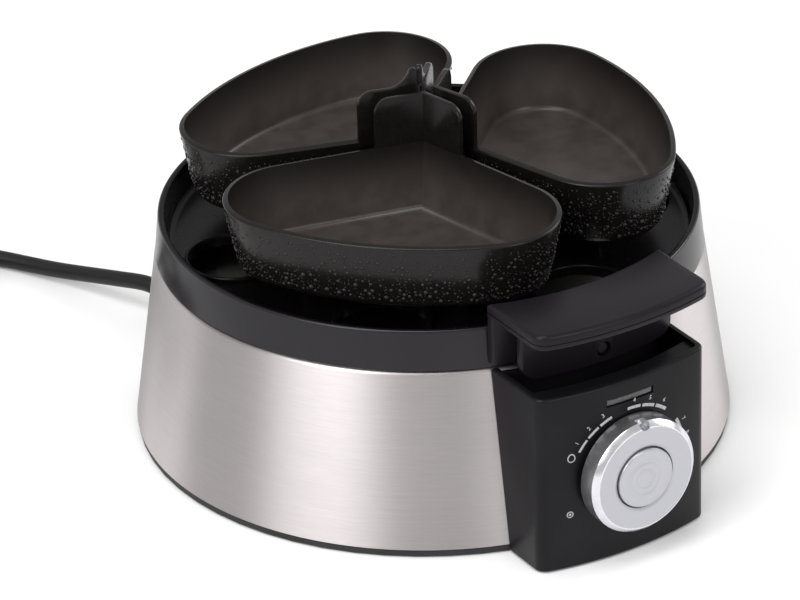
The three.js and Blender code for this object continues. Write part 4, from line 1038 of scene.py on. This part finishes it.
class EGGCOOKER_OT_tray(bpy.types.Operator):
    """Spin the black tray and cut its egg holes and steam vents"""

    bl_idname = "egg_cooker.tray"
    bl_label = "Steam tray"

    def execute(self, context):
        scene = context.scene
        sizes = scene.egg_cooker_body
        first = scene.egg_cooker_poacher.first_angle
        bottom, top = TRAY_LOW.z + sizes.skirt_depth, TRAY_HIGH.z
        low_radius = sizes.sleeve_top_radius - sizes.tray_inset
        high_radius = low_radius - sizes.tray_draft
        floor_top = TRAY_LOW.z + sizes.tray_floor
        floor_bottom = floor_top - sizes.floor_thickness
        wall, rim, fillet = sizes.tray_wall, 0.8 * MM, 2.4 * MM
        inner = high_radius - wall - 0.5 * MM
        tray = lathed("tray", [
            (0, floor_bottom), (sizes.skirt_radius - wall, floor_bottom),
            (sizes.skirt_radius - wall, TRAY_LOW.z), (sizes.skirt_radius - 0.4 * MM, TRAY_LOW.z),
            (sizes.skirt_radius, TRAY_LOW.z + 0.4 * MM), (sizes.skirt_radius, bottom),
            (low_radius - 0.3 * MM, bottom), (low_radius, bottom + 0.3 * MM),
            *arc(high_radius - rim, top - rim, rim, 0.1, math.pi / 2, 4),
            *arc(high_radius - wall + rim, top - rim, rim, math.pi / 2, math.pi, 4),
            *arc(inner - fillet, floor_top + fillet, fillet, 0, -math.pi / 2, 5), (0, floor_top),
        ], 240)
        hole, wide = sizes.egg_hole_radius, sizes.egg_hole_radius + sizes.collar_wall
        crest, soft = floor_top + sizes.collar_height, sizes.collar_wall / 2
        holes, collars = [], []
        for i in range(6):
            middle = AXIS + at_angle(sizes.egg_hole_circle, first + i * math.pi / 3)
            holes.append(cylinder("hole", hole + 0.2 * MM, floor_bottom - MM, crest, middle, 80))
            collars.append(lathed("collar", [
                (hole, floor_bottom + 0.3 * MM), (wide, floor_bottom + 0.3 * MM),
                (wide, floor_top + 0.1 * MM),
                *arc(hole + soft, crest - soft, soft, 0, math.pi, 6),
            ], 80, middle))
        for i in range(6):
            middle = AXIS + at_angle(sizes.vent_circle, first + (i + 0.5) * math.pi / 3)
            low, high = floor_bottom - MM, floor_top + MM
            holes.append(cylinder("vent", sizes.vent_radius, low, high, middle, 32))
        combined(tray, "DIFFERENCE", joined(holes))
        combined(tray, "UNION", joined(collars))
        finished(smooth(tray, 35), "tray", "gloss_black", "steam_tray", look=LOOKS["tray"])
        second_look(tray, LOOKS["band"], lambda face: self.on_band(face, low_radius, bottom))
        return {"FINISHED"}

    def on_band(self, face, radius, bottom):
        """True of the faces on the tray's outer band."""
        middle = face.calc_center_median()
        away = Vector((middle.x, middle.y - AXIS.y, 0))
        outside = away.length > radius - 3 * MM and middle.z > bottom
        return outside and face.normal.dot(away.normalized()) > 0.5


class EGGCOOKER_OT_handle(bpy.types.Operator):
    """Model the tray's handle: top plate, upright leg and apron"""

    bl_idname = "egg_cooker.handle"
    bl_label = "Handle"

    def execute(self, context):
        sizes = context.scene.egg_cooker_body
        inner = sizes.sleeve_top_radius - sizes.tray_inset + TOUCHING
        half = HANDLE_HIGH.x
        top, under = HANDLE_HIGH.z, HANDLE_HIGH.z - sizes.handle_thickness
        plate = slab("handle", sector(inner, HANDLE_REACH, half, sizes.handle_corner), under, top)
        rounded(plate, sizes.handle_edge, is_level(top), 4)
        rounded(plate, 0.8 * MM, is_level(under), 3)
        self.groove(plate, under + 1.7 * MM, inner)
        leg_low = HANDLE_LOW.z + 2 * MM
        leg_plan = sector(inner, inner + sizes.handle_leg, half, 0.8 * MM)
        leg = slab("leg", leg_plan, leg_low, under + MM)
        softened(leg, 0.3 * MM)
        apron = self.make_apron(sizes, under)
        height = sizes.screw_height
        boss = cylinder("boss", SCREW_BOSS, inner + MM, sizes.apron_reach - 0.6 * MM, ORIGIN)
        combined(plate, "UNION", leg, apron, facing_front(boss, height))
        seat = sizes.apron_reach - 3.2 * MM
        recess = facing_front(cylinder("recess", SCREW_SEAT, seat, HANDLE_REACH, ORIGIN, 40), height)
        shank = cylinder("shank", SCREW_SHANK, 60 * MM, HANDLE_REACH, ORIGIN, 32)
        facing_front(shank, height)
        band = cylinder("band", inner, 0, top + MM, AXIS, BODY_FACETS)
        combined(plate, "DIFFERENCE", recess, shank, band)
        finished(smooth(plate, 35), "tray", "satin_black", "tray_handle", look=LOOKS["handle"])
        return {"FINISHED"}

    def groove(self, plate, height, inner):
        """Cuts the fine parting line round the plate's edge."""
        width = 0.35 * MM
        edit(plate)
        for level in (height, height + width):
            bpy.ops.mesh.select_all(action="SELECT")
            bpy.ops.mesh.bisect(plane_co=(0, 0, level), plane_no=(0, 0, 1))

        def in_strip(face):
            middle = face.calc_center_median()
            away = Vector((middle.x, middle.y - AXIS.y, 0)).length
            upright = abs(face.normal.z) < 0.3
            return upright and height < middle.z < height + width and away > inner + MM

        pick(plate, "faces", in_strip)
        bpy.ops.mesh.extrude_region_shrink_fatten(TRANSFORM_OT_shrink_fatten={"value": -0.25 * MM})
        close(plate)

    def make_apron(self, sizes, under):
        """The curved plate that hangs under the handle, with two round lower corners."""
        low, half, corner = HANDLE_LOW.z, sizes.apron_half, APRON_CORNER
        plan = sector(sizes.apron_reach - sizes.apron_wall, sizes.apron_reach, half, 0.8 * MM)
        apron = slab("apron", plan, low, under + MM)
        inner = half - corner
        face = [
            (-half - MM, under + 2 * MM),
            *arc(-inner, low + corner, corner, math.pi, FRONT, 8),
            *arc(inner, low + corner, corner, FRONT, 2 * math.pi, 8),
            (half + MM, under + 2 * MM),
        ]
        mask = slab("mask", face, 0, HANDLE_REACH, ORIGIN)
        placed(mask, Matrix.Translation((0, AXIS.y, 0)) @ Matrix.Rotation(math.pi / 2, 4, "X"))
        combined(apron, "INTERSECT", mask)
        return softened(apron, 0.4 * MM)


class EGGCOOKER_OT_cups(bpy.types.Operator):
    """Model the poacher's three cups with their grips and legs"""

    bl_idname = "egg_cooker.cups"
    bl_label = "Poacher cups"

    def execute(self, context):
        sizes = context.scene.egg_cooker_poacher
        rim, bottom = self.levels(sizes)
        for i, place in enumerate(CUP_PLACES):
            turn = sizes.first_angle + i * 2 * math.pi / 3
            cup = self.make_bowl(f"poaching_cup_{place}", sizes, rim, bottom)
            grip = sizes.rear_grip if place == "rear" else sizes.front_grip
            parts = [self.make_grip(sizes, grip, place == "rear", side, rim) for side in (-1, 1)]
            parts += [self.make_leg(sizes, side, bottom) for side in (-1, 1)]
            combined(cup, "UNION", *parts)
            placed(cup, Matrix.Translation(AXIS) @ Matrix.Rotation(turn, 4, "Z"))
            finished(smooth(cup, 35), "poacher", "cup_black", f"cup_{place}", look=LOOKS["cup"])

            def lining(face):
                return self.is_inside(face, sizes, turn, rim, bottom)

            second_look(cup, LOOKS["cup_inside"], lining)
        hub = smooth(softened(copy_of("poacher_hub", "cup_hub"), 0.15 * MM, 1, 60), 40)
        finished(hub, "poacher", "cup_black", "poacher_hub", look=LOOKS["cup"])
        return {"FINISHED"}

    @staticmethod
    def levels(sizes):
        """Heights of a cup's rim and underside."""
        bottom = TRAY_LOW.z + bpy.context.scene.egg_cooker_body.tray_floor + CUP_ABOVE_FLOOR
        return bottom + sizes.height, bottom

    @staticmethod
    def outline(sizes, count=20):
        """A cup's plan about its own axis, +X: a pointed end, two straight sides, two round corners
        and a wide arc."""
        half = sizes.half_angle
        side = Vector((math.cos(half), math.sin(half)))
        inward = Vector((math.sin(half), -math.cos(half)))
        middle = Vector((sizes.reach - sizes.outer_arc, 0))
        # A round corner's middle lies off the straight side, where it also meets the wide arc.
        start = Vector((sizes.apex, 0)) + sizes.corner * inward - middle
        ahead = start.dot(side)
        excess = start.length_squared - (sizes.outer_arc - sizes.corner) ** 2
        centre = middle + start + (math.sqrt(ahead * ahead - excess) - ahead) * side
        lean = math.atan2(centre.y, centre.x - middle.x)
        return [
            (sizes.apex, 0),
            *arc(centre.x, -centre.y, sizes.corner, -(half + math.pi / 2), -lean, count),
            *arc(middle.x, 0, sizes.outer_arc, -lean, lean, count)[1:-1],
            *arc(centre.x, centre.y, sizes.corner, lean, half + math.pi / 2, count),
        ]

    def make_bowl(self, name, sizes, rim, bottom):
        """A cup's walls and floor: its rim's outline inset down to the floor, then thickened."""
        points = [(x, y, rim) for x, y in self.outline(sizes)]
        cup = traced(name, points, filled=True)
        bpy.ops.mesh.select_mode(type="FACE")
        bpy.ops.mesh.select_all(action="SELECT")
        bpy.ops.mesh.inset(thickness=sizes.draft, depth=bottom - rim, use_even_offset=True)
        bpy.ops.mesh.select_all(action="SELECT")
        bpy.ops.mesh.normals_make_consistent(inside=False)
        close(cup)
        edit(cup)
        # The wall is added on the inside, so the open shell's floor has to point down.
        if any(face.normal.z > 0.9 for face in bmesh.from_edit_mesh(cup.data).faces):
            bpy.ops.mesh.select_all(action="SELECT")
            bpy.ops.mesh.flip_normals()
        close(cup)
        rounded(cup, sizes.heel, is_level(bottom), 4)
        modified(cup, "SOLIDIFY", thickness=sizes.wall, offset=-1, use_even_offset=True, use_rim=True)
        return rounded(cup, 0.55 * MM, is_level(rim), 3)

    def make_grip(self, sizes, reach, horned, side, rim):
        """An upright plate on one straight side: its outer top corner is round, and a horned one rises
        beside its pointed edge."""
        top, corner = rim + sizes.grip_height, sizes.grip_corner
        outline = [(0, rim - 2 * MM), (reach, rim - 2 * MM)]
        outline += arc(reach - corner, top - corner, corner, 0, math.pi / 2, 10)
        if horned:
            tip, foot = sizes.horn_slot + sizes.horn_tip, sizes.horn_foot
            peak = top + sizes.horn_height - sizes.horn_tip
            ends = Vector((foot + 2 * MM, top)), Vector((tip + sizes.horn_tip, peak))
            bend = Vector((foot - 1.6 * MM, top + 0.6 * MM))
            for i in range(10):
                share = i / 10
                at = ends[0] * (1 - share) ** 2 + bend * 2 * share * (1 - share) + ends[1] * share ** 2
                outline.append(tuple(at))
            outline += arc(tip, peak, sizes.horn_tip, 0, math.pi, 8)
            outline.append((sizes.horn_slot, top))
        outline.append((0, top))
        plate = slab("grip", outline, 0, sizes.wall, ORIGIN)
        softened(plate, 0.4 * MM, 2, 50)
        stand = Matrix.Rotation(math.pi / 2, 4, "X")
        shift = Matrix.Translation((0, sizes.wall if side < 0 else 0, 0))
        lean = Matrix.Rotation(side * sizes.half_angle, 4, "Z")
        return placed(plate, Matrix.Translation((sizes.apex, 0, 0)) @ lean @ shift @ stand)

    def make_leg(self, sizes, side, bottom):
        foot = TRAY_LOW.z + bpy.context.scene.egg_cooker_body.tray_floor + TOUCHING
        middle = at_angle(sizes.leg_circle, side * sizes.leg_angle)
        leg = cylinder("leg", sizes.leg_radius, foot, bottom + MM, middle, 40)
        return rounded(leg, 0.6 * MM, is_level(foot), 3)

    def is_inside(self, face, sizes, turn, rim, bottom):
        """True of the faces that line a cup."""
        middle = face.calc_center_median()
        if middle.z > rim - 0.8 * MM:
            return False
        centre = AXIS + at_angle(sizes.reach * 0.52, turn)
        inward = Vector((centre.x - middle.x, centre.y - middle.y, 0))
        lining = face.normal.dot(inward.normalized()) > 0.2 or face.normal.z > 0.7
        return lining and middle.z > bottom + sizes.wall - 0.3 * MM


class EGGCOOKER_OT_droplets(bpy.types.Operator):
    """Scatter droplets of condensed steam over the outside of the cups"""

    bl_idname = "egg_cooker.droplets"
    bl_label = "Condensation"

    def execute(self, context):
        sizes = context.scene.egg_cooker_poacher
        rim, bottom = EGGCOOKER_OT_cups.levels(sizes)
        dome = self.make_dome()
        for i, place in enumerate(CUP_PLACES):
            chance = random.Random(DROP_SEED + i)
            angle_of_cup = sizes.first_angle + i * 2 * math.pi / 3
            turn = Matrix.Translation(AXIS) @ Matrix.Rotation(angle_of_cup, 4, "Z")
            spots = [
                (turn @ at, turn.to_3x3() @ normal, radius)
                for at, normal, radius in self.scatter(sizes, chance, rim, bottom)
            ]
            obj = self.make_drops(f"droplets_{place}", dome, spots)
            finished(obj, "poacher", "cup_black", look=LOOKS["water"])
        bpy.data.meshes.remove(dome)
        return {"FINISHED"}

    def make_dome(self):
        """One flattened drop of unit radius, cut flat on the wall that it sits on."""
        deselect()
        bpy.ops.mesh.primitive_uv_sphere_add(segments=8, ring_count=6, radius=1)
        drop = bpy.context.object
        edit(drop)
        bpy.ops.mesh.select_all(action="SELECT")
        bpy.ops.mesh.bisect(
            plane_co=(0, 0, -DROP_SUNK), plane_no=(0, 0, 1), clear_inner=True, use_fill=True
        )
        close(drop)
        drop.scale = (1, 1, DROP_FLATNESS)
        bpy.ops.object.transform_apply()
        mesh = drop.data.copy()
        bpy.ops.object.delete()
        return mesh

    def scatter(self, sizes, chance, rim, bottom):
        """Places, directions and radii of the drops on one cup, which grow larger and closer lower down."""
        corners = [Vector(point) for point in EGGCOOKER_OT_cups.outline(sizes, 40)]
        lean = sizes.draft / (rim - bottom)
        spots, taken = [], {}
        cell = 2 * sizes.drop_large
        spread = sizes.drop_large - sizes.drop_small
        lengths = [(b - a).length for a, b in zip(corners, corners[1:] + corners[:1])]
        for _ in range(sizes.drops * 3):
            if len(spots) >= sizes.drops:
                break
            side = chance.choices(range(len(corners)), lengths)[0]
            a, b = corners[side], corners[(side + 1) % len(corners)]
            along = (b - a).normalized()
            out = Vector((along.y, -along.x))
            depth = 1 - chance.random() ** DROPS_HANG_LOW * DROPS_COVER
            if chance.random() > DROPS_AT_RIM + (1 - DROPS_AT_RIM) * depth:
                continue
            height = rim - depth * (rim - bottom - sizes.heel)
            at = a.lerp(b, chance.random()) - out * lean * (rim - height)
            growth = DROP_SIZE_AT_RIM + (1 - DROP_SIZE_AT_RIM) * depth
            size = sizes.drop_small + spread * chance.random() ** DROPS_FEW_LARGE * growth
            point = Vector((at.x, at.y, height))
            key = tuple(int(c // cell) for c in point)
            cells = (tuple(map(sum, zip(key, step))) for step in itertools.product((-1, 0, 1), repeat=3))
            near = (spot for at_cell in cells for spot in taken.get(at_cell, []))
            if any((point - other).length < (size + wide) * DROP_APART for other, wide in near):
                continue
            taken.setdefault(key, []).append((point, size))
            spots.append((point, Vector((out.x, out.y, -lean)).normalized(), size))
        return spots

    def make_drops(self, name, dome, spots):
        """One piece with a copy of the drop at every spot."""
        verts, faces = [], []
        for at, normal, size in spots:
            turn = normal.to_track_quat("Z", "Y").to_matrix()
            first = len(verts)
            verts += [at + turn @ (v.co * size) for v in dome.vertices]
            faces += [[first + i for i in face.vertices] for face in dome.polygons]
        mesh = bpy.data.meshes.new(name)
        mesh.from_pydata(verts, [], faces)
        obj = bpy.data.objects.new(name, mesh)
        bpy.context.scene.collection.objects.link(obj)
        activate(obj)
        bpy.ops.object.shade_smooth()
        return obj


class EGGCOOKER_OT_control_box(bpy.types.Operator):
    """Model the control box with its pocket, light window and printed scale"""

    bl_idname = "egg_cooker.control_box"
    bl_label = "Control box"

    def execute(self, context):
        scene = context.scene
        sizes = scene.egg_cooker_controls
        body = scene.egg_cooker_body
        low, top, wall = BOX_LOW.z, BOX_HIGH.z, sizes.box_wall
        box = slab("control_housing", box_plan(sizes, 0), low, top)
        rounded(box, sizes.box_edge, is_level(top), 3)
        rounded(box, 0.5 * MM, is_level(low), 2)
        pocket_reach = BOX_REACH - wall - sizes.ledge
        ledge_top = top - BOX_LEDGE_DROP
        slope = (body.sleeve_top_radius - SLEEVE_RADIUS) / (SLEEVE_HIGH.z - SLEEVE_LOW.z)

        def sleeve_at(height):
            return SLEEVE_RADIUS + slope * (height - SLEEVE_LOW.z) + TOUCHING

        rim = SLEEVE_RADIUS + TOUCHING
        body_shape = lathed("body", [
            (0, -MM), (rim, -MM), (rim, SLEEVE_LOW.z), (sleeve_at(SLEEVE_LOW.z), SLEEVE_LOW.z),
            (sleeve_at(top + MM), top + MM), (0, top + MM),
        ], BODY_FACETS)
        lens_half = LENS_HIGH.x + TOUCHING
        combined(
            box, "DIFFERENCE",
            slab("cavity", box_plan(sizes, wall), low + wall, sizes.pocket_floor - wall),
            slab("pocket", box_plan(sizes, wall, pocket_reach), sizes.pocket_floor, top + MM),
            slab("shallow", box_plan(sizes, wall), ledge_top, top + MM),
        )
        # The pocket has a wall of its own against the steel.
        liner_low = sizes.pocket_floor - wall / 2
        liner_top = sleeve_at(ledge_top) + sizes.box_liner
        liner = lathed("liner", [
            (0, liner_low), (sleeve_at(liner_low) + sizes.box_liner, liner_low),
            (liner_top, ledge_top - 0.4 * MM), (liner_top - 0.4 * MM, ledge_top), (0, ledge_top),
        ], BODY_FACETS)
        combined(liner, "INTERSECT", slab("plan", box_plan(sizes, wall / 2), 0, top + MM))
        combined(box, "UNION", liner)
        slot = block(
            "slot", (-lens_half, BOX_LOW.y - MM, LENS_LOW.z - TOUCHING),
            (lens_half, LENS_HIGH.y + MM, LENS_HIGH.z + TOUCHING),
        )
        shaft = cylinder("shaft_hole", SHAFT_HOLE, BOX_REACH - 5 * MM, BOX_REACH + 2 * MM, ORIGIN, 48)
        combined(box, "DIFFERENCE", body_shape, facing_front(shaft), slot)
        finished(smooth(box, 35), "base", "satin_black", "control_box", look=LOOKS["box"])
        lens = smooth(softened(copy_of("indicator_lens", "light_window"), 0.25 * MM, 2, 50), 40)
        finished(lens, "base", "smoked_lens", "indicator_lens", look=LOOKS["lens"])
        self.make_scale(sizes)
        return {"FINISHED"}

    def make_scale(self, sizes):
        """Bars round the knob that widen towards the end of the range, with a numeral beside each."""
        bars = []
        numeral = 0
        for start, end in SCALE_GROUPS:
            pitch = (end - start) / BARS_PER_GROUP
            for i in range(BARS_PER_GROUP):
                first = math.radians(start + pitch * i)
                last = math.radians(start + pitch * (i + BAR_LENGTH))
                width = sizes.scale_width * (BAR_FIRST_WIDTH + BAR_WIDENING * numeral)
                inner = sizes.scale_radius - width / 2
                plan = arc(0, 0, inner + width, first, last, 8) + arc(0, 0, inner, last, first, 8)
                bars.append(slab("bar", plan, 0, sizes.print_thickness, ORIGIN))
                numeral += 1
                bars.append(self.make_numeral(sizes, str(numeral), (first + last) / 2))
        bars += self.make_marks(sizes)
        scale = joined(bars)
        scale.name = "printed_scale"
        facing_front(scale)
        self.wrap(scale)
        finished(scale, "base", "satin_silver", look=LOOKS["print"])

    def wrap(self, scale):
        """Lays the flat print on the round front of the box."""
        edit(scale)
        shape = bmesh.from_edit_mesh(scale.data)
        for vert in shape.verts:
            depth = AXIS.y - vert.co.y
            vert.co.y = AXIS.y - math.sqrt((BOX_REACH + 0.02 * MM + depth) ** 2 - vert.co.x ** 2)
        bmesh.update_edit_mesh(scale.data)
        close(scale)
        outward(scale)

    def make_numeral(self, sizes, figure, turn):
        """One numeral, its foot towards the knob."""
        deselect()
        bpy.ops.object.text_add()
        text = bpy.context.object
        text.data.body, text.data.size = figure, sizes.numeral_size
        text.data.align_x, text.data.align_y = "CENTER", "CENTER"
        text.data.extrude = sizes.print_thickness / 2
        text.data.resolution_u = 3
        bpy.ops.object.convert(target="MESH")
        text = bpy.context.object
        place = at_angle(sizes.numeral_radius, turn) + Vector((0, 0, sizes.print_thickness / 2))
        return placed(text, Matrix.Translation(place) @ Matrix.Rotation(turn - math.pi / 2, 4, "Z"))

    def make_marks(self, sizes):
        """An egg's outline before the scale, and a ring with a dot for the off position."""
        egg_at = at_angle(sizes.scale_radius + 1.6 * MM, EGG_MARK)
        off_at = at_angle(sizes.scale_radius + 3 * MM, OFF_MARK)
        marks = []
        for middle, radius, stretch in ((egg_at, 1.3 * MM, 1.3), (off_at, 1.1 * MM, 1)):
            outer, inner = (
                [(x, y * (stretch if y > 0 else 1)) for x, y in arc(0, 0, size, 0, 2 * math.pi, 24)[:-1]]
                for size in (radius, radius - MARK_LINE)
            )
            ring = slab("ring", outer, 0, sizes.print_thickness, ORIGIN)
            combined(ring, "DIFFERENCE", slab("hole", inner, -MM, MM, ORIGIN))
            marks.append(placed(ring, Matrix.Translation(middle)))
        dot = cylinder("dot", 0.4 * MM, 0, sizes.print_thickness, ORIGIN, 16)
        marks.append(placed(dot, Matrix.Translation(off_at)))
        return marks


class EGGCOOKER_OT_knob(bpy.types.Operator):
    """Turn the knob with its polished edge and pointer, and the button in its middle"""

    bl_idname = "egg_cooker.knob"
    bl_label = "Knob and button"

    def execute(self, context):
        sizes = context.scene.egg_cooker_controls
        back, front = AXIS.y - KNOB_HIGH.y, AXIS.y - KNOB_LOW.y
        button_radius = BUTTON_HIGH.x
        button_front, button_back = AXIS.y - BUTTON_LOW.y, front - 2.3 * MM
        well, floor = button_radius + 0.5 * MM, back + 2.4 * MM
        bevel, skirt = sizes.knob_bevel, KNOB_RADIUS - 2.2 * MM
        knob = lathed("dial", [
            (skirt, back), (KNOB_RADIUS - 0.2 * MM, back), (KNOB_RADIUS, back + 0.2 * MM),
            (KNOB_RADIUS, front - bevel), (KNOB_RADIUS - 0.12 * MM, front - bevel + 0.25 * MM),
            (KNOB_RADIUS - bevel + 0.2 * MM, front - 0.1 * MM), (KNOB_RADIUS - bevel - 0.2 * MM, front),
            (KNOB_RADIUS - bevel - 0.5 * MM, front - 0.05 * MM),
            (well + 1.6 * MM, front - 0.12 * MM), (well + 0.8 * MM, front - 0.2 * MM),
            (well, front - 0.6 * MM), (well, floor), (3.3 * MM, floor), (3.3 * MM, back),
            (6.4 * MM, back), (6.4 * MM, back + MM), (skirt, back + MM),
        ], 160, ORIGIN)
        facing_front(knob)
        self.notch(knob, sizes, back, front)
        finished(smooth(knob, 25), "dial", "satin_silver", "knob", look=LOOKS["silver"])
        edge_low = KNOB_RADIUS - bevel - 0.1 * MM

        def away(face):
            middle = face.calc_center_median()
            return math.hypot(middle.x, middle.z - KNOB_HEIGHT), AXIS.y - middle.y

        def on_bevel(face):
            radius, depth = away(face)
            return radius > edge_low and depth > front - bevel - 0.01 * MM

        def on_side(face):
            radius, depth = away(face)
            return radius > KNOB_RADIUS - 0.5 * MM and depth < front - bevel

        second_look(knob, LOOKS["chrome"], on_bevel)
        second_look(knob, LOOKS["knob_side"], on_side)
        button = lathed("push_button", [
            (0, button_back), (button_radius, button_back), (button_radius, button_front - 0.45 * MM),
            (button_radius - 0.15 * MM, button_front - 0.15 * MM), (button_radius - 0.45 * MM, button_front),
            (5.4 * MM, button_front - 0.03 * MM), (5.3 * MM, button_front - 0.10 * MM),
            (5.1 * MM, button_front - 0.10 * MM), (5 * MM, button_front - 0.03 * MM),
            (3.4 * MM, button_front - 0.05 * MM), (3.3 * MM, button_front - 0.12 * MM),
            (3.1 * MM, button_front - 0.12 * MM), (3 * MM, button_front - 0.06 * MM),
            (0, button_front - 0.1 * MM),
        ], 128, ORIGIN)
        facing_front(button)
        finished(smooth(button, 40), "button", "satin_silver", "start_button", look=LOOKS["silver"])
        self.make_spring()
        return {"FINISHED"}

    def make_spring(self):
        """The button's return spring, on the CAD node's shape; how far the button's travel would shorten it
        is worked out but not applied.
        """
        press = next(joint for joint in frame["joints"] if joint["name"] == "button_press")
        low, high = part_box("button_spring")
        spring = smooth(copy_of("button_spring", "return_spring"), 60)
        finished(spring, "dial", "zinc_steel", "button_spring", look=LOOKS["zinc"])
        keep = 1 - max(press["range_m"]) / (high.y - low.y)
        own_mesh(spring)

    def notch(self, knob, sizes, back, front):
        """Cuts the U-shaped notch at the top of the knob, and stands the pointer's triangle in it."""
        half = sizes.notch_width / 2
        plan = [(half, KNOB_RADIUS + MM), (-half, KNOB_RADIUS + MM)]
        plan += arc(0, KNOB_RADIUS - sizes.notch_depth + half, half, math.pi, 2 * math.pi, 12)
        cutter = slab("notch", plan, (back + front) / 2, front + MM, ORIGIN)
        combined(knob, "DIFFERENCE", facing_front(cutter))
        self.make_pointer(sizes, (back + front) / 2)

    def make_pointer(self, sizes, floor):
        """The white triangle in the notch, which points out at the scale."""
        low = KNOB_RADIUS - sizes.notch_depth
        reach, half = low + 2.1 * MM, 1.1 * MM
        plan = [(0, reach), (-half, low + 0.5 * MM), (half, low + 0.5 * MM)]
        pointer = slab("dial_pointer", plan, floor - 0.05 * MM, floor + 0.25 * MM, ORIGIN)
        softened(facing_front(pointer), 0.06 * MM, 1)
        finished(pointer, "dial", "satin_silver", look=LOOKS["pointer"])


class EGGCOOKER_OT_inner(bpy.types.Operator):
    """Give the parts inside the body and the small fasteners their finishes"""

    bl_idname = "egg_cooker.inner"
    bl_label = "Inner parts"

    def execute(self, context):
        finishes = {
            "zinc": ["base_screw_", "element_bracket", "rotary_encoder"],
            "dark_steel": ["handle_screw"],
            "ceramic": ["thermal_fuse", "terminal_block", "start_switch", "indicator_led"],
            "board": ["control_board", "power_board"],
            "inner_plastic": ["buzzer", "relay", "capacitor", "cord_clamp"],
            "brass": ["knob_shaft"],
        }
        for look, starts in finishes.items():
            for name, node in frame["nodes"].items():
                if name.startswith(tuple(starts)):
                    node.data.materials.clear()
                    node.data.materials.append(LOOKS[look])
        return {"FINISHED"}


class EGGCOOKER_PT_pieces(bpy.types.Panel):
    """Lists the egg cooker's pieces"""

    bl_idname = "EGGCOOKER_PT_pieces"
    bl_label = "Egg Cooker"
    bl_space_type = "VIEW_3D"
    bl_region_type = "UI"
    bl_category = "Egg Cooker"

    def draw(self, context):
        for operator in OPERATORS:
            self.layout.operator(operator.bl_idname)


OPERATORS = (
    EGGCOOKER_OT_stage,
    EGGCOOKER_OT_cord,
    EGGCOOKER_OT_sleeve,
    EGGCOOKER_OT_base,
    EGGCOOKER_OT_heater,
    EGGCOOKER_OT_tray,
    EGGCOOKER_OT_handle,
    EGGCOOKER_OT_cups,
    EGGCOOKER_OT_droplets,
    EGGCOOKER_OT_control_box,
    EGGCOOKER_OT_knob,
    EGGCOOKER_OT_inner,
)
CLASSES = (*GROUPS.values(), *OPERATORS, EGGCOOKER_PT_pieces)


def register():
    for cls in CLASSES:
        bpy.utils.register_class(cls)
    for name, group in GROUPS.items():
        setattr(bpy.types.Scene, name, bpy.props.PointerProperty(type=group))


def unregister():
    for name in GROUPS:
        delattr(bpy.types.Scene, name)
    for cls in reversed(CLASSES):
        bpy.utils.unregister_class(cls)


def main():
    register()
    for operator in OPERATORS:
        category, name = operator.bl_idname.split(".")
        getattr(getattr(bpy.ops, category), name)()


if __name__ == "__main__":
    main()
